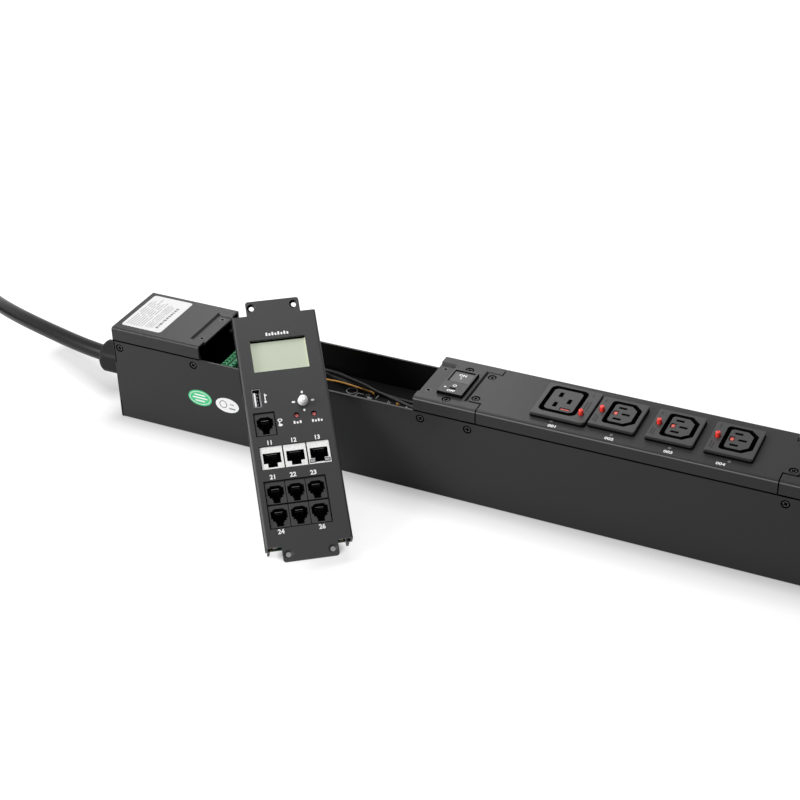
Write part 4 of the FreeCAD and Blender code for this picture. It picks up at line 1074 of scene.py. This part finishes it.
def add_display_edges():
    """Painted light and shade in the display's window: pale inner edges round the glass where its walls are lit,
    and a dark strip of shade under the window's upper edge.
    """
    u, v, width, height = DISPLAY

    def pale(bm):
        for i in (-1, 1):
            slab(bm, rect(u + i * (width / 2 - 0.25), v - 0.5, 0.5, height - 1.0), DISPLAY_TOP, -1.7)
        slab(bm, rect(u, v - height / 2 + 0.3, width - 1.0, 0.6), DISPLAY_TOP, -1.9)

    def dark(bm):
        slab(bm, rect(u, v + height / 2 - 0.35, width, 0.7), DISPLAY_TOP, -1.6)

    piece("display_lit_edges", pale, LIT_EDGE, MODULE)
    piece("display_upper_shade", dark, JOINT_AND_SHADE, MODULE)


CONTACT_PITCH = 1.02


def add_port_details():
    """The upright port's tongue and springs, the jacks' contacts and the third network jack's lights."""
    u, v, width, height = USB
    top, deep = -0.4, -5.5
    lamp_places = [NETWORK_JACKS[2][0] + du for du in (-5.0, 5.0)]
    lamp_row = NETWORK_JACKS[2][1] - 5.9

    def tongue(bm):
        slab(bm, rect(u - 1.3, v - 0.7, 1.4, 10.4, 0.3), -7.0, top - 0.5, edge=0.2)

    def springs(bm):
        for dv in (-4.2, -1.6, 1.0, 3.6):
            slab(bm, rect(u + 0.4, v + dv, 0.6, 0.8), deep, top - 0.9, edge=0.15)
        slab(bm, rect(u + width / 2 - 0.75, v - 0.6, 0.35, 10.0), deep, top - 0.7)

    def port_shade(bm):
        slab(bm, rect(u, v + height / 2 - 1.1, width - 1.0, 1.4), deep, top + INK)

    def contacts(bm):
        for places, count, first in ((NETWORK_JACKS, 8, 2.9), (SIX_WAY_JACKS, 6, 3.4)):
            for cu, cv in places:
                for k in range(count):
                    spring(bm, cu + (k - (count - 1) / 2) * CONTACT_PITCH, cv + first)

    def glints(bm):
        for places, rise, span in ((NETWORK_JACKS, 2.6, 7.4), (SIX_WAY_JACKS, 3.1, 5.2)):
            for cu, cv in places:
                slab(bm, rect(cu, cv + rise, span, 0.22), -2.2, -1.9)

    # Painted shade that widens the dark mouths to their stepped outline
    def shade_strips(bm):
        for cu, cv in SIX_WAY_JACKS:
            for half, low, high, thick in MOUTH_SHADE:
                for side in (-1, 1):
                    middle = (cu + side * (half + thick / 2), cv + (low + high) / 2)
                    flat_mark(bm, rect(*middle, thick, high - low), JACK_FACE)

    def lamps(bm):
        for cu in lamp_places:
            slab(bm, rect(cu, lamp_row, 3.2, 1.9, 0.3), JACK_FACE, JACK_FACE + 0.3, edge=0.2)

    def lamp_edges(bm):
        for cu in lamp_places:
            outer, inner = rect(cu, lamp_row, 4.2, 2.7, 0.3), rect(cu, lamp_row, 3.3, 2.0, 0.3)
            flat_mark_ring(bm, outer, inner, JACK_FACE)

    def outlines(bm):
        bu, bv = SENSOR_JACKS[1][0], (SENSOR_JACKS[1][1] + SENSOR_JACKS[4][1]) / 2
        flat_mark(bm, rect(bu, bv, 40.9, 1.1), JACK_FACE)
        for pu, pv, pw, ph in ((bu, bv, 41.5, 33.1), (*SERIAL_JACK, 13.9, 16.6)):
            flat_mark_ring(bm, rect(pu, pv, pw + 0.9, ph + 0.9), rect(pu, pv, pw, ph))

    piece("port_tongue", tongue, WHITE_INK, MODULE)
    piece("port_springs", springs, GREY_INK, MODULE)
    piece("jack_contacts", contacts, CONTACT, MODULE)
    piece("port_shade", port_shade, JOINT_AND_SHADE, MODULE)
    piece("jack_glints", glints, GLINT, MODULE)
    piece("jack_mouth_shade", shade_strips, JOINT_AND_SHADE, MODULE)
    piece("jack_lamps", lamps, GREY_INK, MODULE)
    piece("jack_lamp_edges", lamp_edges, JOINT_AND_SHADE, MODULE)
    piece("jack_outlines", outlines, JOINT_AND_SHADE, MODULE)


SPRING_PATH = [(-0.9, -4.6), (-1.6, -6), (-3.4, -9.8), (-3.2, -11.2)]


def spring(bm, u, v):
    """One contact spring, slanting into a jack from the upper edge of its mouth."""
    width, thick = 0.44, 0.4
    loft(bm, [
        [(x, y, w) for x, y in rect(u, v + dv + thick / 2, width, thick)] for dv, w in SPRING_PATH
    ])


MODULE_HOLES = [(-14.95, 90.9), (14.95, 90.9)]
RESETS = [(4.7, 6.8), (16.7, 6.6)]
# The part of a countersink under painted shade, in degrees, and sections of radius and height
SINK_TURNS = range(70, 269, 11)
SINK_SHADE_SECTION = [(3.06, -0.02), (1.76, -1.3), (1.69, -1.3), (2.99, -0.02)]
RESET_SHADE_SECTION = [(1.99, -0.02), (1.6, -0.1), (1.45, -1.05), (1.99, -1.05)]


def add_hole_shade():
    """Painted shade: the dark upper side of the countersinks in the module's upper tab, and black rings round the
    resets.
    """
    def countersinks(bm):
        for u, v in MODULE_HOLES:
            loft(bm, [
                [(u + r * cos(a), v + r * sin(a), z) for r, z in SINK_SHADE_SECTION]
                for a in map(radians, SINK_TURNS)
            ])

    def reset_rings(bm):
        for u, v in RESETS:
            turned(bm, RESET_SHADE_SECTION, Matrix.Translation((u, v, 0)), 32)

    piece("module_hole_shade", countersinks, JOINT_AND_SHADE, MODULE)
    piece("reset_hole_shade", reset_rings, JOINT_AND_SHADE, MODULE)


PAD_RISE = 0.1


def add_board_pads():
    """Gold pads at the lower corners of the module's board."""
    def fill(bm):
        for u in (-24.6, 23.4):
            outer, inner = rect(u, -81.2, 2.6, 1.9, 0.4), rect(u, -81.2, 1.0, 0.8, 0.2)
            band(bm, outer, inner, BOARD_TOP, BOARD_TOP + PAD_RISE)
        for u in (-21.6, -20.2, 20.4):
            slab(bm, rect(u, -80.6, 0.8, 1.6), BOARD_TOP, BOARD_TOP + PAD_RISE)

    piece("board_pads", fill, DULL_GOLD, MODULE)


# Bay

BLACK_RADIUS, AMBER_RADIUS = 1.3, 0.7
WIRE_STEPS = 6
WIRE_SIDES = 14
UPPER_WIRE = [
    (90.8, 45.2, 50.5), (121, 48.5, 53), (140, 47.3, 53), (153.8, 46, 52.5), (165.3, 45, 52.5),
    (177.6, 41.4, 52.5), (189.6, 37.9, 52.5), (202.3, 32.9, 52.5), (213.9, 29.9, 52.4), (232, 26, 51.6),
    (250, 24, 50.8),
]
LOWER_WIRE = [
    (90.8, 37.6, 49.5), (121, 42.5, 50.2), (140, 46.2, 50), (153.2, 47, 49.5), (163.4, 43.5, 49.5),
    (172.2, 41.5, 49.5), (177.5, 40.6, 49.4), (190, 41, 48.2), (203, 39.2, 47.6), (216, 37.4, 47.6),
    (232, 36.5, 47.6), (250, 34, 47.6),
]
AMBER_WIRE = [
    (90.8, 30, 50.6), (121, 34.6, 51.2), (145, 36.6, 50.7), (158.8, 37.3, 50.3), (168.6, 38, 50.3),
    (178.3, 37.6, 50), (186.7, 37.4, 49.4), (195, 37.1, 48.4), (197.6, 36.9, 47.4),
]


def wire(bm, points, radius):
    """A round wire along a smooth curve through the points."""
    knots = [Vector(p) for p in (points[0], *points, points[-1])]
    path = [knots[1]]
    for a, b, c, d in zip(knots, knots[1:], knots[2:], knots[3:]):
        for t in (k / WIRE_STEPS for k in range(1, WIRE_STEPS + 1)):
            bend = (c - a) * t + (2 * a - 5 * b + 4 * c - d) * t ** 2 + (3 * b - a - 3 * c + d) * t ** 3
            path.append(b + bend / 2)
    loops = []
    for k, at in enumerate(path):
        along = (path[min(k + 1, len(path) - 1)] - path[max(k - 1, 0)]).normalized()
        side = along.cross(Vector((0, 0, 1))).normalized()
        up = side.cross(along)
        loops.append([at + radius * (side * x + up * y) for x, y, _ in circle(1.0, 0, WIRE_SIDES)])
    loft(bm, loops)


def add_wires():
    """The loose wires in the bay, bent as the photo shows them."""
    def black(bm):
        wire(bm, UPPER_WIRE, BLACK_RADIUS)
        wire(bm, LOWER_WIRE, BLACK_RADIUS)

    def amber(bm):
        wire(bm, AMBER_WIRE, AMBER_RADIUS)

    made = piece("bay_black_wires", black, LOOKS["black_wire"], BOTTOM, smooth=True)
    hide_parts("black_wires")
    made = piece("bay_amber_wire", amber, LOOKS["amber_wire"], BOTTOM, smooth=True)
    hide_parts("amber_wire")


POLES = 11


def add_terminal_ridges():
    """Slanting ridges between the screw wells of the terminal block, lighter green as a painted highlight, and
    ribs down its open side.
    """
    low, high = casing_box("terminal_block")
    pitch = (high.y - low.y) / POLES
    rows = [low.y + (k + 0.5) * pitch for k in range(POLES)]

    def ridges(bm):
        for y in rows:
            for x, lean in ((low.x + 1.4, 0.9), (low.x + 3.6, -0.9)):
                (xa, ya), (xb, yb) = (x - 0.9, y - lean), (x + 0.9, y + lean)
                outline = [(xa, ya - 0.45), (xb, yb - 0.45), (xb, yb + 0.45), (xa, ya + 0.45)]
                slab(bm, outline, high.z - 0.6, high.z + 0.5, edge=0.2)

    def ribs(bm):
        for y in rows:
            slab(bm, rect(high.x - 0.5, y, 2.6, 1.7), low.z + 0.4, high.z - 0.5, edge=0.2)

    piece("terminal_ridges", ridges, LIGHT_GREEN, BOTTOM)
    piece("terminal_ribs", ribs, DARK_GREEN, BOTTOM)


# Printed bars on the board: middle and size
BOARD_LINES = [
    (185, 33.4, 0.5, 5), (187.5, 35.6, 5, 0.5), (195.8, 32.9, 3.6, 2), (210.6, 32.8, 0.5, 3.6),
    (212, 32.1, 0.5, 3), (200.5, 36, 0.5, 6),
]


def add_bay_details():
    """Printed outlines and small components on the bay's board."""
    def print_lines(bm):
        flat_mark_ring(bm, oval(179.7, 36.8, 8.4, 8.4, 28), oval(179.7, 36.8, 7.4, 7.4, 28))
        for line in BOARD_LINES:
            flat_mark(bm, rect(*line))
        flat_mark_ring(bm, oval(193.3, 35.4, 3.2, 3.2, 20), oval(193.3, 35.4, 2.4, 2.4, 20))

    def beads(bm):
        profile = [(0.8, 0), (1.3, 0.5), (1.5, 1.5), (1.3, 2.5), (0.6, 3.1)]
        lathe(bm, profile, Matrix.Translation((219.4, 31.0, 0)), 16)

    def chips(bm):
        slab(bm, rect(227.6, 31.2, 4.0, 1.4, 0.2), 0, 1.2, edge=0.2)

    def sockets(bm):
        for x in (231.0, 235.4):
            slab(bm, rect(x, 31.6, 3.0, 3.2, 0.3), 0, 2.2, edge=0.3)

    piece("board_print", print_lines, GREY_INK, BOARD_FACE)
    piece("board_beads", beads, LOOKS["amber_wire"], BOARD_FACE, smooth=True)
    piece("board_chips", chips, WHITE_INK, BOARD_FACE)
    piece("board_sockets", sockets, LIGHT_GREEN, BOARD_FACE)


dress_nodes()
add_camera()
add_floor()
add_light()
add_cord()
add_strap()
add_gland_nut()
add_plug_grip()
add_screws()
add_label()
add_marks()
add_seams()
add_outlet_details()
add_release_buttons()
add_breaker_marks()
add_module_marks()
add_display_edges()
add_port_details()
add_hole_shade()
add_board_pads()
add_wires()
add_terminal_ridges()
add_bay_details()

bpy.context.scene.view_settings.view_transform = "Standard"
